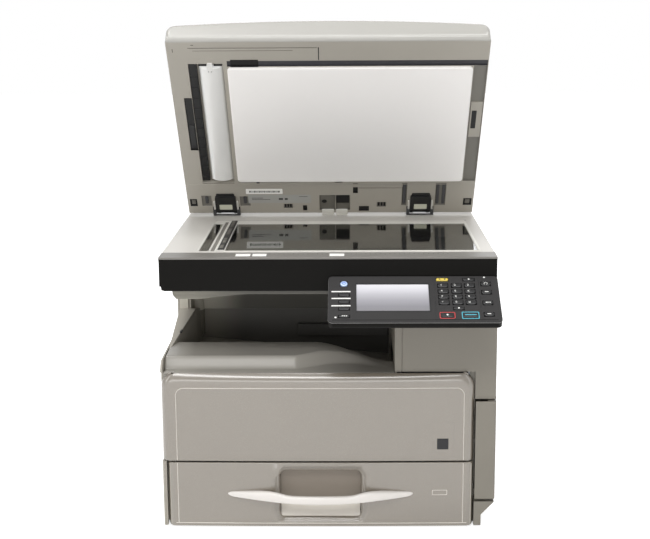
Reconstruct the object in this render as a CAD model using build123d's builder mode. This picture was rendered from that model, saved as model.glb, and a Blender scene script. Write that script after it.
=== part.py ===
from build123d import *
from math import cos, radians, sin
import os

os.makedirs("parts", exist_ok=True)

# Lengths are in millimetres. X runs to the right, Y to the back and Z up.
# The origin lies on the floor under the middle of the machine, and depths named
# here are measured back from the front face of the body.

# Body
half_width = 240.0
body_depth = 449.0
skin = 3.0
side_reach = half_width + skin
seam = 1.0
fit = 0.3
pin_gap = 0.1

# Feet
foot_height = 4.0
foot_radius = 11.0
foot_inset = 34.0

# Front door and cassette front
front_left_inset = 7.0
front_right_inset = 31.6
front_left = front_left_inset - side_reach
front_right = side_reach - front_right_inset
front_middle = (front_left + front_right) / 2
front_crown = 2.5
door_corner = 21.0
foot_corner = 6.0
small_corner = 2.0
plan_corner = 12.0
front_thickness = 14.0
cassette_front_bottom = 3.0
cassette_front_top = 101.5
door_gap = 2.0
door_top = 235.0
door_edge_round = 5.0
door_pivot_depth = 6.2
door_ear_inset = 22.0
door_ear = 2.5
door_ear_radius = 2.8
door_pin_radius = 1.5

# Cassette
cassette_left_inset = 14.0
cassette_right_inset = 14.4
cassette_left = front_left + cassette_left_inset
cassette_right = front_right - cassette_right_inset
cassette_length = 376.0
cassette_height = 92.0
cassette_wall = 3.0
recess_half = 59.0
recess_shift = 0.3
recess_left = front_middle + recess_shift - recess_half
recess_right = front_middle + recess_shift + recess_half
recess_bottom = 17.3
recess_top = 88.4
recess_corner = 9.0
handle_half = 135.65
handle_shift = -0.05
handle_middle = front_middle + handle_shift
handle_left = handle_middle - handle_half
handle_right = handle_middle + handle_half
handle_tip_z = 52.6
handle_shoulder_z = 61.0
handle_shoulder = 61.0
handle_middle_top = 54.6
handle_middle_bottom = 43.0
handle_bow = 22.0
handle_thickness = 9.0
lift_left_inset = 122.0
lift_right_inset = 9.0
lift_left = cassette_left + lift_left_inset
lift_right = cassette_right - lift_right_inset
lift_margin = 28.0
lift_thickness = 1.5
lift_pin_radius = 2.0
lift_ear = 3.0

# Frame
sheet = 2.0
frame_left_inset = 9.0
frame_right_inset = 6.4
frame_left = front_left + frame_left_inset
frame_right = front_right - frame_right_inset
frame_front = 18.5
frame_back = 436.0
frame_shelf = 103.5
frame_low_top = 184.0
tower_width = 147.0
tower_wall_inset = 7.0
tower_left = side_reach - tower_width
tower_wall_x = tower_left + tower_wall_inset
tower_shelf = 200.0

# Right side: plinth, door and by-pass tray
plinth_top = 40.0
plinth_inset = 20.0
plinth_side = side_reach - plinth_inset
plinth_bevel_bottom = 20.0
plinth_bottom = 3.5
right_door_top = 192.6
right_door_gap = 2.4
right_door_seam = 1.8
right_door_front = 2.0
right_door_back = 332.0
right_pivot_inset = 7.5
right_pin_radius = 2.5
right_ear = 4.0
right_ear_radius = 4.0
inner_panel = 3.0
bypass_front = 62.0
bypass_back = 286.0
bypass_bottom = 84.0
bypass_top = 182.0
bypass_pin_radius = 1.2
bypass_grip = 12.0
bypass_grip_inset = 80.0

# Tower
tower_front = 8.0
tower_strip = 10.0
tower_groove = 0.8
casing_round = 4.0
exit_front = 70.0
exit_back = 268.0
exit_bottom = 206.0
exit_top = 246.0

# Left cover
cover_front = 3.0
cover_top = 252.0
cover_corner = 20.0
post_front = 221.0
cover_flange = 5.6
cover_grip_back = 150.0
cover_grip_length = 92.0
cover_grip_height = 22.0
cover_grip_z = 118.0

# Rear cover's grilles
vent_pitch = 9.0
vent_count = 9
vent_length = 70.0
vent_width = 3.6
vent_z = 250.0
vent_x = 130.0

# Output tray
tray_front = 5.0
tray_lip = 24.0
tray_plateau_front = 41.0
tray_plateau = 252.0
tray_plateau_back = 118.0
tray_drop = 8.0
tray_floor_left = 222.0
tray_floor_right = 190.0
tray_slope_length = 113.0
scoop_width = 138.0
scoop_reach = 75.0
scoop_gap = 4.0
tray_slope_start = tower_left - tray_slope_length
tray_notch = front_left + plan_corner + 2 * seam
scoop_right = tower_left - scoop_gap
scoop_left = scoop_right - scoop_width
scoop_middle = scoop_right - scoop_reach
scoop_depth = 53.0
scoop_rise = 24.0

# Scanner support
wall_depth = 280.0
post_width = 21.0
post_inner = post_width - side_reach
post_round = 16.0

# Scanner
case_bottom = 352.0
belly_drop = 8.2
belly_inset = 2.0
belly_left = post_inner - belly_inset
belly_slope = 7.0
belly_flat_start = 40.0
belly_length = 129.0
belly_flat = belly_left + belly_flat_start
belly_end = belly_left + belly_length
bezel_bottom = 357.5
scanner_top_z = 406.0
bezel_strip = 38.0
bezel_side = 2.4
bezel_taper = 3.0
platen_length = 366.5
platen_margin = 23.5
platen_right = half_width - platen_margin
platen_left = platen_right - platen_length
platen_front = 48.5
platen_back = 283.0
slit_width = 13.0
slit_gap = 24.0
slit_right = platen_left - slit_gap
slit_left = slit_right - slit_width
slit_front = 50.5
slit_back = 286.6
glass_thickness = 2.8
glass_ledge = 4.0
carriage_width = 34.0
carriage_height = 26.0
carriage_park = 13.0
carriage_left = slit_left - carriage_park
lamp_inset = 12.0
lamp_slot = 9.0
rail_width = 9.0
rail_height = 7.0
rail_depth = 168.0

# Lid
lid_angle = 49.84
hinge_depth = 379.2
hinge_z = 416.0
lid_under = 5.0
lid_top = 20.0
lid_front = 385.5
lid_back = 4.0
fascia_depth = 42.0
fascia_end = 27.0
fascia_crown = 37.6
fascia_edge = 7.0
fascia_corner = 14.0
pad_overlap = 1.0
pad_left = platen_left - pad_overlap
pad_right = platen_right
pad_back = 77.5
pad_front = 329.5
pad_thickness = 4.6
recess_guide_margin = 15.0
recess_guide_depth = 8.0
guide_left_margin = 7.5
guide_right_margin = 16.5
guide_left = slit_left - guide_left_margin
guide_right = slit_right + guide_right_margin
recess_guide_left = guide_left - recess_guide_margin
guide_back = 72.0
guide_front = 336.0
guide_rise = 3.2
guide_sheet = 1.5
hinge_left_inset = 42.4
hinge_right_inset = 111.7
hinge_left_x = hinge_left_inset - half_width
hinge_right_x = half_width - hinge_right_inset
hinge_width = 45.0
hinge_ear = 5.0
hinge_pin_radius = 3.0
hinge_ear_radius = 6.5
hinge_knuckle_radius = 5.8
hinge_base = 2.4
hinge_base_front = 364.0
hinge_base_back = 396.0
arm_reach = 40.0
arm_plate = 1.6

# Document feeder on the lid
feeder_width = 154.0
feeder_right = feeder_width - half_width
feeder_top = 78.0
feeder_round = 16.0
feeder_front = 340.0
feeder_back = 8.0
feeder_pivot_inset = 7.0
feeder_pin_radius = 2.0
feeder_ear = 4.0
feeder_ear_radius = 3.6
feeder_ear_inset = 24.0
originals_gap = 3.0
originals_inset = 6.0
originals_left = feeder_right + originals_gap
originals_right = half_width - originals_inset
originals_front = 318.0
originals_back = 30.0
originals_z = 48.0
originals_thickness = 5.0
originals_rise = 14.0
originals_pin_radius = 3.0
originals_ear = 5.0
originals_guide = 9.0
guide_inset = 28.0
guide_length = 66.0

# Control panel
panel_width = 238.0
panel_inset = 0.8
panel_right = half_width - panel_inset
panel_left = panel_right - panel_width
panel_slope = 30.0
panel_top_depth = -3.0
panel_top_z = 378.9
panel_length = 93.0
panel_thickness = 11.5
panel_skin = 2.4
panel_corner = 6.0
panel_wall = 2.0
panel_pivot_down = 6.4
panel_pivot_in = 7.2
panel_pin_radius = 2.0
panel_clear = 0.8
panel_ear = 4.0
panel_ear_radius = 3.4
panel_ear_left = 31.0
panel_ear_right = 22.0
screen_inset = 38.3
screen_width = 102.5
screen_left = panel_left + screen_inset
screen_right = screen_left + screen_width
screen_start = 14.8
screen_end = 72.0
screen_sink = 1.0
screen_thickness = 4.0
key_gap = 0.35
key_rise = 1.3
key_depth = 4.2
key_flange = 0.8
key_round = 1.6
round_share = 0.45

# Inner units
toner_gap = 28.0
toner_x = tower_left - toner_gap
toner_radius = 29.0
toner_front = 24.0
toner_length = 286.0
toner_neck_radius = 14.0
toner_neck = 18.0
toner_foot = 6.0
drum_left_gap = 5.0
drum_right_gap = 7.0
drum_left = tower_wall_x + drum_left_gap
drum_right = frame_right - drum_right_gap
drum_height = 76.0
drum_radius = 15.0
drum_cheek = 12.0
drum_grip = 18.0
unit_front = 26.0
unit_length = 300.0
fuser_left_gap = 9.0
fuser_right_gap = 7.0
fuser_left = tower_wall_x + fuser_left_gap
fuser_right = frame_right - fuser_right_gap
fuser_height = 74.0
fuser_roller = 14.0
laser_left_gap = 37.0
laser_width = 220.0
laser_left = frame_left + laser_left_gap
laser_right = laser_left + laser_width
laser_height = 62.0
laser_front = 60.0
laser_length = 270.0
laser_corner = 8.0
inlet_inset = 55.0
inlet_x = frame_right - inlet_inset
inlet_z = 34.0
inlet_width = 48.0
inlet_height = 27.0
inlet_depth = 22.0
socket_width = 24.0
socket_height = 17.0
blade_pitch = 7.0
blade = 2.0
blade_lift = 3.0

# Frames of reference
panel_reach = panel_length * cos(radians(panel_slope)) - panel_top_depth
front_y = panel_reach - (body_depth + panel_reach) / 2
machine = Plane((0, front_y, 0))
lid_normal = (0, sin(radians(lid_angle)), cos(radians(lid_angle)))
lid = Plane((0, front_y + hinge_depth, hinge_z), x_dir=(1, 0, 0), z_dir=lid_normal)
panel_normal = (0, -sin(radians(panel_slope)), cos(radians(panel_slope)))
panel = Plane((0, front_y + panel_top_depth, panel_top_z), x_dir=(1, 0, 0), z_dir=panel_normal)


def block(plane, x, y, z, mode=Mode.ADD):
    """Add or cut a box between two X, two Y and two Z values of a plane's own frame."""
    centre = Location(((x[0] + x[1]) / 2, (y[0] + y[1]) / 2, (z[0] + z[1]) / 2))
    with Locations(plane.location * centre):
        Box(x[1] - x[0], y[1] - y[0], z[1] - z[0], mode=mode)


def rod(plane, x, y, z, radius, mode=Mode.ADD):
    """Add or cut a rod along X between two X values, at one Y and Z of a plane's frame."""
    centre = Location(((x[0] + x[1]) / 2, y, z), (0, 90, 0))
    with Locations(plane.location * centre):
        Cylinder(radius, x[1] - x[0], mode=mode)


def shaft(plane, x, y, z, radius, mode=Mode.ADD):
    """Add or cut a rod along Y between two Y values, at one X and Z of a plane's frame."""
    centre = Location((x, (y[0] + y[1]) / 2, z), (90, 0, 0))
    with Locations(plane.location * centre):
        Cylinder(radius, y[1] - y[0], mode=mode)


def save(piece, name):
    """Label a finished piece and write its file."""
    piece.part.label = name
    export_step(piece.part, "parts/" + name + ".step")


def crowned_block(bottom, top, upper_corner, lower_corner, inset, depth):
    """The space behind the bowed front surface between two heights, drawn in by inset."""
    left = front_left + inset
    right = front_right - inset
    middle = (left + right) / 2
    corner = min(plan_corner - inset, depth - inset - seam)
    with BuildPart() as body:
        with BuildSketch(Plane.XY.offset(bottom + inset)):
            with BuildLine(machine.location):
                Polyline((left, depth), (left, corner + inset))
                RadiusArc((left, corner + inset), (left + corner, inset), corner)
                ThreePointArc((left + corner, inset), (middle, inset - front_crown),
                              (right - corner, inset))
                RadiusArc((right - corner, inset), (right, corner + inset), corner)
                Polyline((right, corner + inset), (right, depth), (left, depth))
            make_face()
        extrude(amount=top - bottom - 2 * inset)
        with BuildSketch(Plane.XZ.offset(-front_y - depth)) as outline:
            with Locations((middle, (bottom + top) / 2)):
                Rectangle(right - left, top - bottom - 2 * inset)
            corners = outline.vertices().group_by(Axis.Y)
            fillet(corners[-1], max(upper_corner - inset, seam))
            fillet(corners[0], max(lower_corner - inset, seam))
        extrude(amount=depth + 2 * front_crown, mode=Mode.INTERSECT)
    return body.part


# Rubber feet, one under each corner of the frame
foot_spread_x = frame_right - frame_left - 2 * foot_inset
foot_spread_y = frame_back - frame_front - 2 * foot_inset
foot_centre = ((frame_left + frame_right) / 2, (frame_front + frame_back) / 2, foot_height / 2)
with BuildPart() as rubber_feet:
    with Locations(machine.location * Location(foot_centre)):
        with GridLocations(foot_spread_x, foot_spread_y, 2, 2):
            Cylinder(foot_radius, foot_height)
    chamfer(rubber_feet.faces().group_by(Axis.Z)[0].edges(), foot_height / 4)
save(rubber_feet, "rubber_feet")

# Door and cassette heights that follow from the seams
door_bottom = cassette_front_top + door_gap
door_pivot_z = door_bottom + door_pivot_depth + front_crown
frame_floor = foot_height + sheet

# Main frame: folded sheets round the cassette bay, with the tower's wall and shelf
door_ears = (front_left + door_ear_inset, front_right - door_ear_inset - door_ear)
with BuildPart() as main_frame:
    block(machine, (frame_left, frame_right), (frame_front, frame_back), (foot_height, frame_floor))
    block(machine, (frame_left, frame_left + sheet), (frame_front, frame_back),
          (frame_floor, frame_low_top))
    block(machine, (frame_right - sheet, frame_right), (frame_front, frame_back),
          (frame_floor, case_bottom))
    block(machine, (frame_left, frame_right), (frame_back - sheet, frame_back),
          (frame_floor, frame_low_top))
    block(machine, (frame_left, frame_right), (frame_front, frame_back),
          (frame_shelf, frame_shelf + sheet))
    block(machine, (tower_wall_x, tower_wall_x + sheet), (frame_front, frame_back),
          (frame_shelf, tower_shelf))
    block(machine, (tower_wall_x, frame_right), (unit_front, frame_back),
          (tower_shelf - sheet, tower_shelf))
    block(machine, (inlet_x - inlet_width / 2 - seam, inlet_x + inlet_width / 2 + seam),
          (frame_back - 2 * sheet, frame_back + sheet),
          (inlet_z - inlet_height / 2 - seam, inlet_z + inlet_height / 2 + seam), Mode.SUBTRACT)
    for ear in door_ears:
        block(machine, (ear, ear + door_ear), (door_pivot_depth, frame_front + sheet),
              (door_pivot_z - door_ear_radius, door_pivot_z + door_ear_radius))
        block(machine, (ear, ear + door_ear), (frame_front, frame_front + 2 * sheet),
              (frame_shelf, door_pivot_z + door_ear_radius))
        rod(machine, (ear, ear + door_ear), door_pivot_depth, door_pivot_z, door_ear_radius)
        rod(machine, (ear, ear + door_ear), door_pivot_depth, door_pivot_z, door_pin_radius + pin_gap,
            Mode.SUBTRACT)
save(main_frame, "main_frame")

# Left cover: side wall with its front flange, a rounded front top corner and the rear post
with BuildPart() as left_cover:
    with BuildSketch(Plane.YZ.offset(-side_reach)):
        with BuildLine(Location((front_y, 0, 0))):
            Polyline((cover_front, cassette_front_bottom), (cover_front, cover_top - cover_corner))
            RadiusArc((cover_front, cover_top - cover_corner), (cover_front + cover_corner, cover_top),
                      cover_corner)
            Polyline((cover_front + cover_corner, cover_top), (post_front, cover_top),
                     (post_front, case_bottom), (body_depth - skin, case_bottom),
                     (body_depth - skin, cassette_front_bottom), (cover_front, cassette_front_bottom))
        make_face()
    extrude(amount=skin)
    fillet(left_cover.faces().sort_by(Axis.X)[0].edges(), skin / 2)
    block(machine, (-side_reach + skin, -side_reach + cover_flange),
          (cover_front + seam, front_thickness),
          (cassette_front_bottom, frame_low_top - seam))
    block(machine, (-side_reach - skin / 2, -side_reach + skin / 2),
          (cover_grip_back - cover_grip_length, cover_grip_back), (cover_grip_z,
                                                                   cover_grip_z + cover_grip_height),
          Mode.SUBTRACT)
save(left_cover, "left_cover")

# Rear cover: back wall with two grilles of slots and the inlet's window
with BuildPart() as rear_cover:
    block(machine, (-side_reach + skin, side_reach - skin), (body_depth - skin, body_depth),
          (plinth_bottom, case_bottom))
    with Locations(machine.location * Location((0, body_depth, vent_z))):
        with GridLocations(2 * vent_x, 1, 2, 1):
            for step in range(vent_count):
                with Locations((0, 0, (step - (vent_count - 1) / 2) * vent_pitch)):
                    Box(vent_length, 3 * skin, vent_width, mode=Mode.SUBTRACT)
    block(machine, (inlet_x - inlet_width / 2 - fit, inlet_x + inlet_width / 2 + fit),
          (body_depth - 2 * skin, body_depth + skin),
          (inlet_z - inlet_height / 2 - fit, inlet_z + inlet_height / 2 + fit), Mode.SUBTRACT)
save(rear_cover, "rear_cover")

# Power inlet: a socket housing with three blades, held in the rear cover's window
with BuildPart() as power_inlet:
    block(machine, (inlet_x - inlet_width / 2, inlet_x + inlet_width / 2),
          (body_depth - inlet_depth, body_depth),
          (inlet_z - inlet_height / 2, inlet_z + inlet_height / 2))
    block(machine, (inlet_x - socket_width / 2, inlet_x + socket_width / 2),
          (body_depth - inlet_depth + skin, body_depth + skin),
          (inlet_z - socket_height / 2, inlet_z + socket_height / 2), Mode.SUBTRACT)
    for column, lift in ((-1, 0), (0, blade_lift), (1, 0)):
        block(machine, (inlet_x + column * blade_pitch - blade / 2,
                        inlet_x + column * blade_pitch + blade / 2),
              (body_depth - inlet_depth + skin, body_depth - skin), (inlet_z - blade + lift,
                                                                     inlet_z + blade + lift))
save(power_inlet, "power_inlet")

# Tower cover: the right casing, with the tower above, a hidden side panel and the plinth below
door_right_edge = front_right + seam
right_door_left = front_right + right_door_seam
right_pivot_x = side_reach - right_pivot_inset
right_pivot_z = plinth_top + right_door_gap + right_pivot_inset
right_ears = (right_door_front + 5 * skin, right_door_back - 5 * skin - right_ear)
with BuildPart() as tower_cover:
    with BuildSketch(Plane.XZ.offset(-front_y - tower_front - skin)):
        with BuildLine():
            Polyline((tower_left, door_top + seam), (door_right_edge, door_top + seam),
                     (door_right_edge, right_door_top + right_door_gap), (side_reach,
                                                                          right_door_top + right_door_gap),
                     (side_reach, case_bottom), (tower_left, case_bottom), close=True)
        make_face()
    extrude(amount=skin)
    block(machine, (side_reach - skin, side_reach), (tower_front, body_depth - skin),
          (right_door_top + right_door_gap, case_bottom))
    upright = tower_cover.edges().filter_by(Axis.Z).group_by(Axis.X)[-1]
    fillet(upright.sort_by(Axis.Y)[0], casing_round)
    block(machine, (side_reach - skin, side_reach), (right_door_back + right_door_seam,
                                                     body_depth - skin),
          (plinth_bottom, case_bottom))
    block(machine, (tower_left, tower_left + skin), (tower_front, wall_depth),
          (frame_low_top, case_bottom))
    block(machine, (door_right_edge, side_reach), (tower_front, body_depth - skin),
          (right_door_top + right_door_gap, right_door_top + right_door_gap + skin))
    block(machine, (frame_right, door_right_edge), (front_thickness + fit, body_depth - skin),
          (right_door_top + right_door_gap, right_door_top + right_door_gap + skin))
    block(machine, (frame_right, frame_right + inner_panel), (frame_front, body_depth - skin),
          (plinth_bottom, right_door_top + right_door_gap))
    with BuildSketch(Plane.XZ.offset(-front_y - body_depth + skin)):
        with BuildLine():
            Polyline((frame_right, plinth_bottom), (plinth_side, plinth_bottom),
                     (plinth_side, plinth_bevel_bottom),
                     (side_reach - seam, plinth_top), (frame_right, plinth_top), close=True)
        make_face()
    extrude(amount=body_depth - skin - frame_front)
    with BuildSketch(Plane.XZ.offset(-front_y - frame_front)):
        with BuildLine():
            Polyline((door_right_edge, plinth_bottom), (plinth_side, plinth_bottom),
                     (plinth_side, plinth_bevel_bottom),
                     (side_reach - seam, plinth_top), (door_right_edge, plinth_top), close=True)
        make_face()
    extrude(amount=frame_front - right_door_front)
    block(machine, (frame_right + inner_panel, plinth_side - skin),
          (frame_front + skin, body_depth - 2 * skin),
          (plinth_bottom - skin, plinth_top - skin), Mode.SUBTRACT)
    block(machine, (tower_left - skin, tower_left + 2 * skin), (exit_front, exit_back),
          (exit_bottom, exit_top),
          Mode.SUBTRACT)
    block(machine, (tower_left + tower_strip, tower_left + tower_strip + seam),
          (tower_front - seam, tower_front + tower_groove),
          (door_top + seam, case_bottom), Mode.SUBTRACT)
    for ear in right_ears:
        block(machine, (frame_right, right_pivot_x), (ear, ear + right_ear),
              (right_pivot_z - right_ear_radius, right_pivot_z + right_ear_radius))
        shaft(machine, right_pivot_x, (ear, ear + right_ear), right_pivot_z, right_ear_radius)
        shaft(machine, right_pivot_x, (ear, ear + right_ear), right_pivot_z, right_pin_radius + pin_gap,
              Mode.SUBTRACT)
    block(machine, (frame_right - sheet, frame_right), (frame_front, body_depth - skin),
          (0, case_bottom), Mode.SUBTRACT)
save(tower_cover, "tower_cover")

# Right door: outer skin with rims, a wrapped front edge and the by-pass tray's window
right_door_bottom = plinth_top + right_door_gap
with BuildPart() as right_door:
    block(machine, (side_reach - skin, side_reach), (right_door_front, right_door_back),
          (right_door_bottom, right_door_top))
    fillet(right_door.faces().sort_by(Axis.X)[-1].edges().sort_by(Axis.Z)[0], skin - fit)
    block(machine, (right_door_left, side_reach - skin), (right_door_front, right_door_front + skin),
          (right_door_bottom, right_door_top))
    upright = right_door.edges().filter_by(Axis.Z).group_by(Axis.X)[-1].sort_by(Axis.Y)[0]
    fillet(upright, casing_round)
    block(machine, (side_reach - 4 * skin, side_reach - skin), (right_door_back - skin, right_door_back),
          (right_door_bottom, right_door_top))
    block(machine, (side_reach - 4 * skin, side_reach - skin),
          (right_door_front + skin, right_door_back - skin),
          (right_door_top - skin, right_door_top))
    for ear in right_ears:
        block(machine, (right_pivot_x - right_ear_radius, side_reach - skin),
              (ear + right_ear + fit, ear + 2 * right_ear + fit),
              (right_pivot_z - right_ear_radius, right_pivot_z + right_ear_radius))
        shaft(machine, right_pivot_x, (ear - fit, ear + right_ear + 2 * fit), right_pivot_z,
              right_pin_radius)
    block(machine, (side_reach - 2 * skin, side_reach + skin), (bypass_front - fit, bypass_back + fit),
          (bypass_bottom - fit, bypass_top + fit), Mode.SUBTRACT)
    block(machine, (side_reach - 2 * skin, side_reach - skin - fit),
          (bypass_front - skin, bypass_back + skin),
          (bypass_top - skin, bypass_top + skin))
    block(machine, (side_reach - 2 * skin, side_reach - skin), (bypass_front - skin, bypass_back + skin),
          (bypass_top + fit, bypass_top + skin))
    for end in (bypass_front - fit - bypass_pin_radius, bypass_back + fit - bypass_pin_radius):
        shaft(machine, side_reach - skin / 2, (end, end + 2 * bypass_pin_radius),
              bypass_bottom + skin / 2,
              bypass_pin_radius)
save(right_door, "right_door")

# By-pass tray: a flap in the right door's window, turning on two stub pins at its foot
with BuildPart() as bypass_tray:
    block(machine, (side_reach - skin, side_reach), (bypass_front, bypass_back),
          (bypass_bottom, bypass_top))
    fillet(bypass_tray.edges().filter_by(Axis.Y).group_by(Axis.Z)[0], skin / 2 - pin_gap)
    block(machine, (side_reach - seam, side_reach + seam), (bypass_front + bypass_grip_inset,
                                                            bypass_back - bypass_grip_inset),
          (bypass_top - 2 * bypass_grip, bypass_top - bypass_grip), Mode.SUBTRACT)
    for end in (bypass_front, bypass_back - 2 * bypass_pin_radius):
        shaft(machine, side_reach - skin / 2, (end - fit, end + 2 * bypass_pin_radius + fit),
              bypass_bottom + skin / 2,
              bypass_pin_radius + pin_gap, Mode.SUBTRACT)
save(bypass_tray, "bypass_tray")

# Front door: a bowed shell with inner ribs, hinged at its foot
door_space = crowned_block(door_bottom, door_top, door_corner, small_corner, 0, front_thickness)
door_hollow = crowned_block(door_bottom, door_top, door_corner, small_corner, skin,
                            front_thickness + skin)
with BuildPart() as front_door:
    add(door_space)
    fillet(front_door.edges().group_by(Axis.Z)[0].sort_by(Axis.Y)[0], door_edge_round)
    add(door_hollow, mode=Mode.SUBTRACT)
    block(machine, (tray_notch - fit, tower_left + skin + fit),
          (tray_front - fit, front_thickness + skin),
          (frame_low_top - seam, door_top + seam), Mode.SUBTRACT)
    for ear in door_ears:
        block(machine, (ear - fit - door_ear, ear - fit), (skin - seam, front_thickness),
              (door_bottom + skin - seam, door_pivot_z + 2 * door_ear_radius))
        rod(machine, (ear - fit, ear + door_ear + fit), door_pivot_depth, door_pivot_z, door_pin_radius)
        block(machine, (ear - fit, ear + door_ear + fit), (skin, front_thickness + skin),
              (door_bottom - seam, door_bottom + skin),
              Mode.SUBTRACT)
save(front_door, "front_door")

# Cassette front: a bowed shell with a rounded recess for the fingers
cassette_space = crowned_block(cassette_front_bottom, cassette_front_top, small_corner, foot_corner, 0,
                               front_thickness)
cassette_hollow = crowned_block(cassette_front_bottom, cassette_front_top, small_corner, foot_corner,
                                skin, front_thickness - skin)
with BuildPart() as cassette_front:
    add(cassette_space)
    add(cassette_hollow, mode=Mode.SUBTRACT)
    with BuildSketch(Plane.XZ.offset(-front_y - front_thickness)):
        with Locations(((recess_left + recess_right) / 2, (recess_bottom + recess_top) / 2)):
            RectangleRounded(recess_right - recess_left + 2 * skin, recess_top - recess_bottom + 2 * skin,
                             recess_corner + skin)
    extrude(amount=front_thickness - skin / 2)
    with BuildSketch(Plane.XZ.offset(-front_y - front_thickness + skin)):
        with Locations(((recess_left + recess_right) / 2, (recess_bottom + recess_top) / 2)):
            RectangleRounded(recess_right - recess_left, recess_top - recess_bottom, recess_corner)
    extrude(amount=front_thickness + front_crown, mode=Mode.SUBTRACT)
save(cassette_front, "cassette_front")

# Cassette handle: a bowed bar across the recess, tapering to a point at each end
with BuildPart() as cassette_handle:
    with BuildSketch(Plane.XY.offset(handle_middle_bottom)):
        with BuildLine(machine.location):
            ThreePointArc((handle_left, 0), (handle_middle, -handle_bow), (handle_right, 0))
            Polyline((handle_right, 0), (handle_right, skin), (handle_right - handle_half / 3, skin))
            ThreePointArc((handle_right - handle_half / 3, skin),
                          (handle_middle, handle_thickness - handle_bow),
                          (handle_left + handle_half / 3, skin))
            Polyline((handle_left + handle_half / 3, skin), (handle_left, skin), (handle_left, 0))
        make_face()
    extrude(amount=handle_shoulder_z - handle_middle_bottom)
    with BuildSketch(Plane.XZ.offset(-front_y - skin)):
        with BuildLine():
            ThreePointArc((handle_left, handle_tip_z), (handle_middle, handle_middle_bottom),
                          (handle_right, handle_tip_z))
            Line((handle_right, handle_tip_z), (handle_middle + handle_shoulder, handle_shoulder_z))
            ThreePointArc((handle_middle + handle_shoulder, handle_shoulder_z),
                          (handle_middle, handle_middle_top),
                          (handle_middle - handle_shoulder, handle_shoulder_z))
            Line((handle_middle - handle_shoulder, handle_shoulder_z), (handle_left, handle_tip_z))
        make_face()
    extrude(amount=handle_bow + 2 * skin, mode=Mode.INTERSECT)
    add(cassette_space, mode=Mode.SUBTRACT)
save(cassette_handle, "cassette_handle")

# Cassette: an open paper tray that slides on the frame's floor
cassette_bottom = frame_floor + fit
cassette_top = cassette_bottom + cassette_height
cassette_back = front_thickness + cassette_length
lift_z = cassette_bottom + cassette_wall + 2 * lift_pin_radius
lift_front = front_thickness + cassette_wall + lift_margin
lift_back = cassette_back - cassette_wall - lift_margin
with BuildPart() as cassette:
    block(machine, (cassette_left, cassette_right), (front_thickness, cassette_back),
          (cassette_bottom, cassette_top))
    block(machine, (cassette_left + cassette_wall, cassette_right - cassette_wall),
          (front_thickness + cassette_wall, cassette_back - cassette_wall),
          (cassette_bottom + cassette_wall, cassette_top + cassette_wall), Mode.SUBTRACT)
    for end in (lift_front - fit - lift_ear, lift_back + fit):
        block(machine, (lift_left - 2 * lift_pin_radius, lift_left + 2 * lift_pin_radius),
              (end, end + lift_ear),
              (cassette_bottom + cassette_wall, lift_z + 2 * lift_pin_radius))
        shaft(machine, lift_left, (end, end + lift_ear), lift_z, lift_pin_radius + pin_gap, Mode.SUBTRACT)
save(cassette, "cassette")

# Lift plate: it turns up under the paper about pins near its left end
with BuildPart() as lift_plate:
    block(machine, (lift_left, lift_right), (lift_front, lift_back),
          (lift_z - lift_thickness / 2, lift_z + lift_thickness / 2))
    shaft(machine, lift_left, (lift_front - fit - lift_ear, lift_back + fit + lift_ear), lift_z,
          lift_pin_radius)
save(lift_plate, "lift_plate")


def tray_outline(bottom, inset):
    """The output tray's side profile as a face, drawn in by inset and reaching down to bottom."""
    with BuildSketch(Plane.YZ) as outline:
        with BuildLine(Location((front_y, 0, 0))):
            Polyline((tray_front, bottom), (tray_front, door_top), (tray_lip, door_top),
                     (tray_plateau_front, tray_plateau), (tray_plateau_back, tray_plateau),
                     (tray_plateau_back + tray_drop, tray_floor_left),
                     (wall_depth - fit, tray_floor_left), (wall_depth - fit, bottom), close=True)
        make_face()
        if inset:
            offset(amount=-inset)
    return outline.sketch


def tray_scoop(inset):
    """The scooped opening at the tray's right front, from the lip up past the plateau."""
    widen = -inset
    low = door_top - inset
    with BuildPart() as scoop:
        for height, rise in ((low, 0), (tray_plateau - inset + skin, scoop_rise)):
            with BuildSketch(Plane.XY.offset(height)):
                with BuildLine(machine.location):
                    ThreePointArc((scoop_left - widen - rise / 4, tray_lip),
                                  (scoop_middle - rise / 4, scoop_depth + widen + rise),
                                  (scoop_right + widen + rise / 4, 0))
                    Polyline((scoop_right + widen + rise / 4, 0), (scoop_right + widen + rise / 4, -skin),
                             (scoop_left - widen - rise / 4, -skin), (scoop_left - widen - rise / 4,
                                                                      tray_lip))
                make_face()
        loft(ruled=True)
    return scoop.part


# Output tray: lip, riser, plateau and a floor that falls towards the tower
tray_left = -side_reach + skin + fit
tray_right = tower_left - fit


def tray_form(bottom, inset):
    """The tray's whole outer form, or its hollow when drawn in by inset."""
    left = tray_left + inset
    right = tray_right - inset
    scoop = tray_scoop(inset)
    with BuildPart() as form:
        add(Location((left, 0, 0)) * tray_outline(bottom, inset))
        extrude(amount=right - left, dir=(1, 0, 0))
        add(scoop, mode=Mode.SUBTRACT)
        with BuildSketch(Plane.XZ.offset(-front_y - wall_depth)):
            with BuildLine():
                Polyline((tray_slope_start, tray_plateau - inset), (tray_right, door_top - inset),
                         (tray_right, tray_plateau + skin), (tray_slope_start,
                                                             tray_plateau + skin), close=True)
            make_face()
        extrude(amount=wall_depth - tray_lip, mode=Mode.SUBTRACT)
        with BuildSketch(Plane.XZ.offset(-front_y - wall_depth)):
            with BuildLine():
                Polyline((tray_left, tray_floor_left - inset), (tray_right, tray_floor_right - inset),
                         (tray_right, tray_plateau), (tray_left, tray_plateau), close=True)
            make_face()
        extrude(amount=wall_depth - tray_plateau_back - tray_drop - inset, mode=Mode.SUBTRACT)
    return form.part


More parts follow.
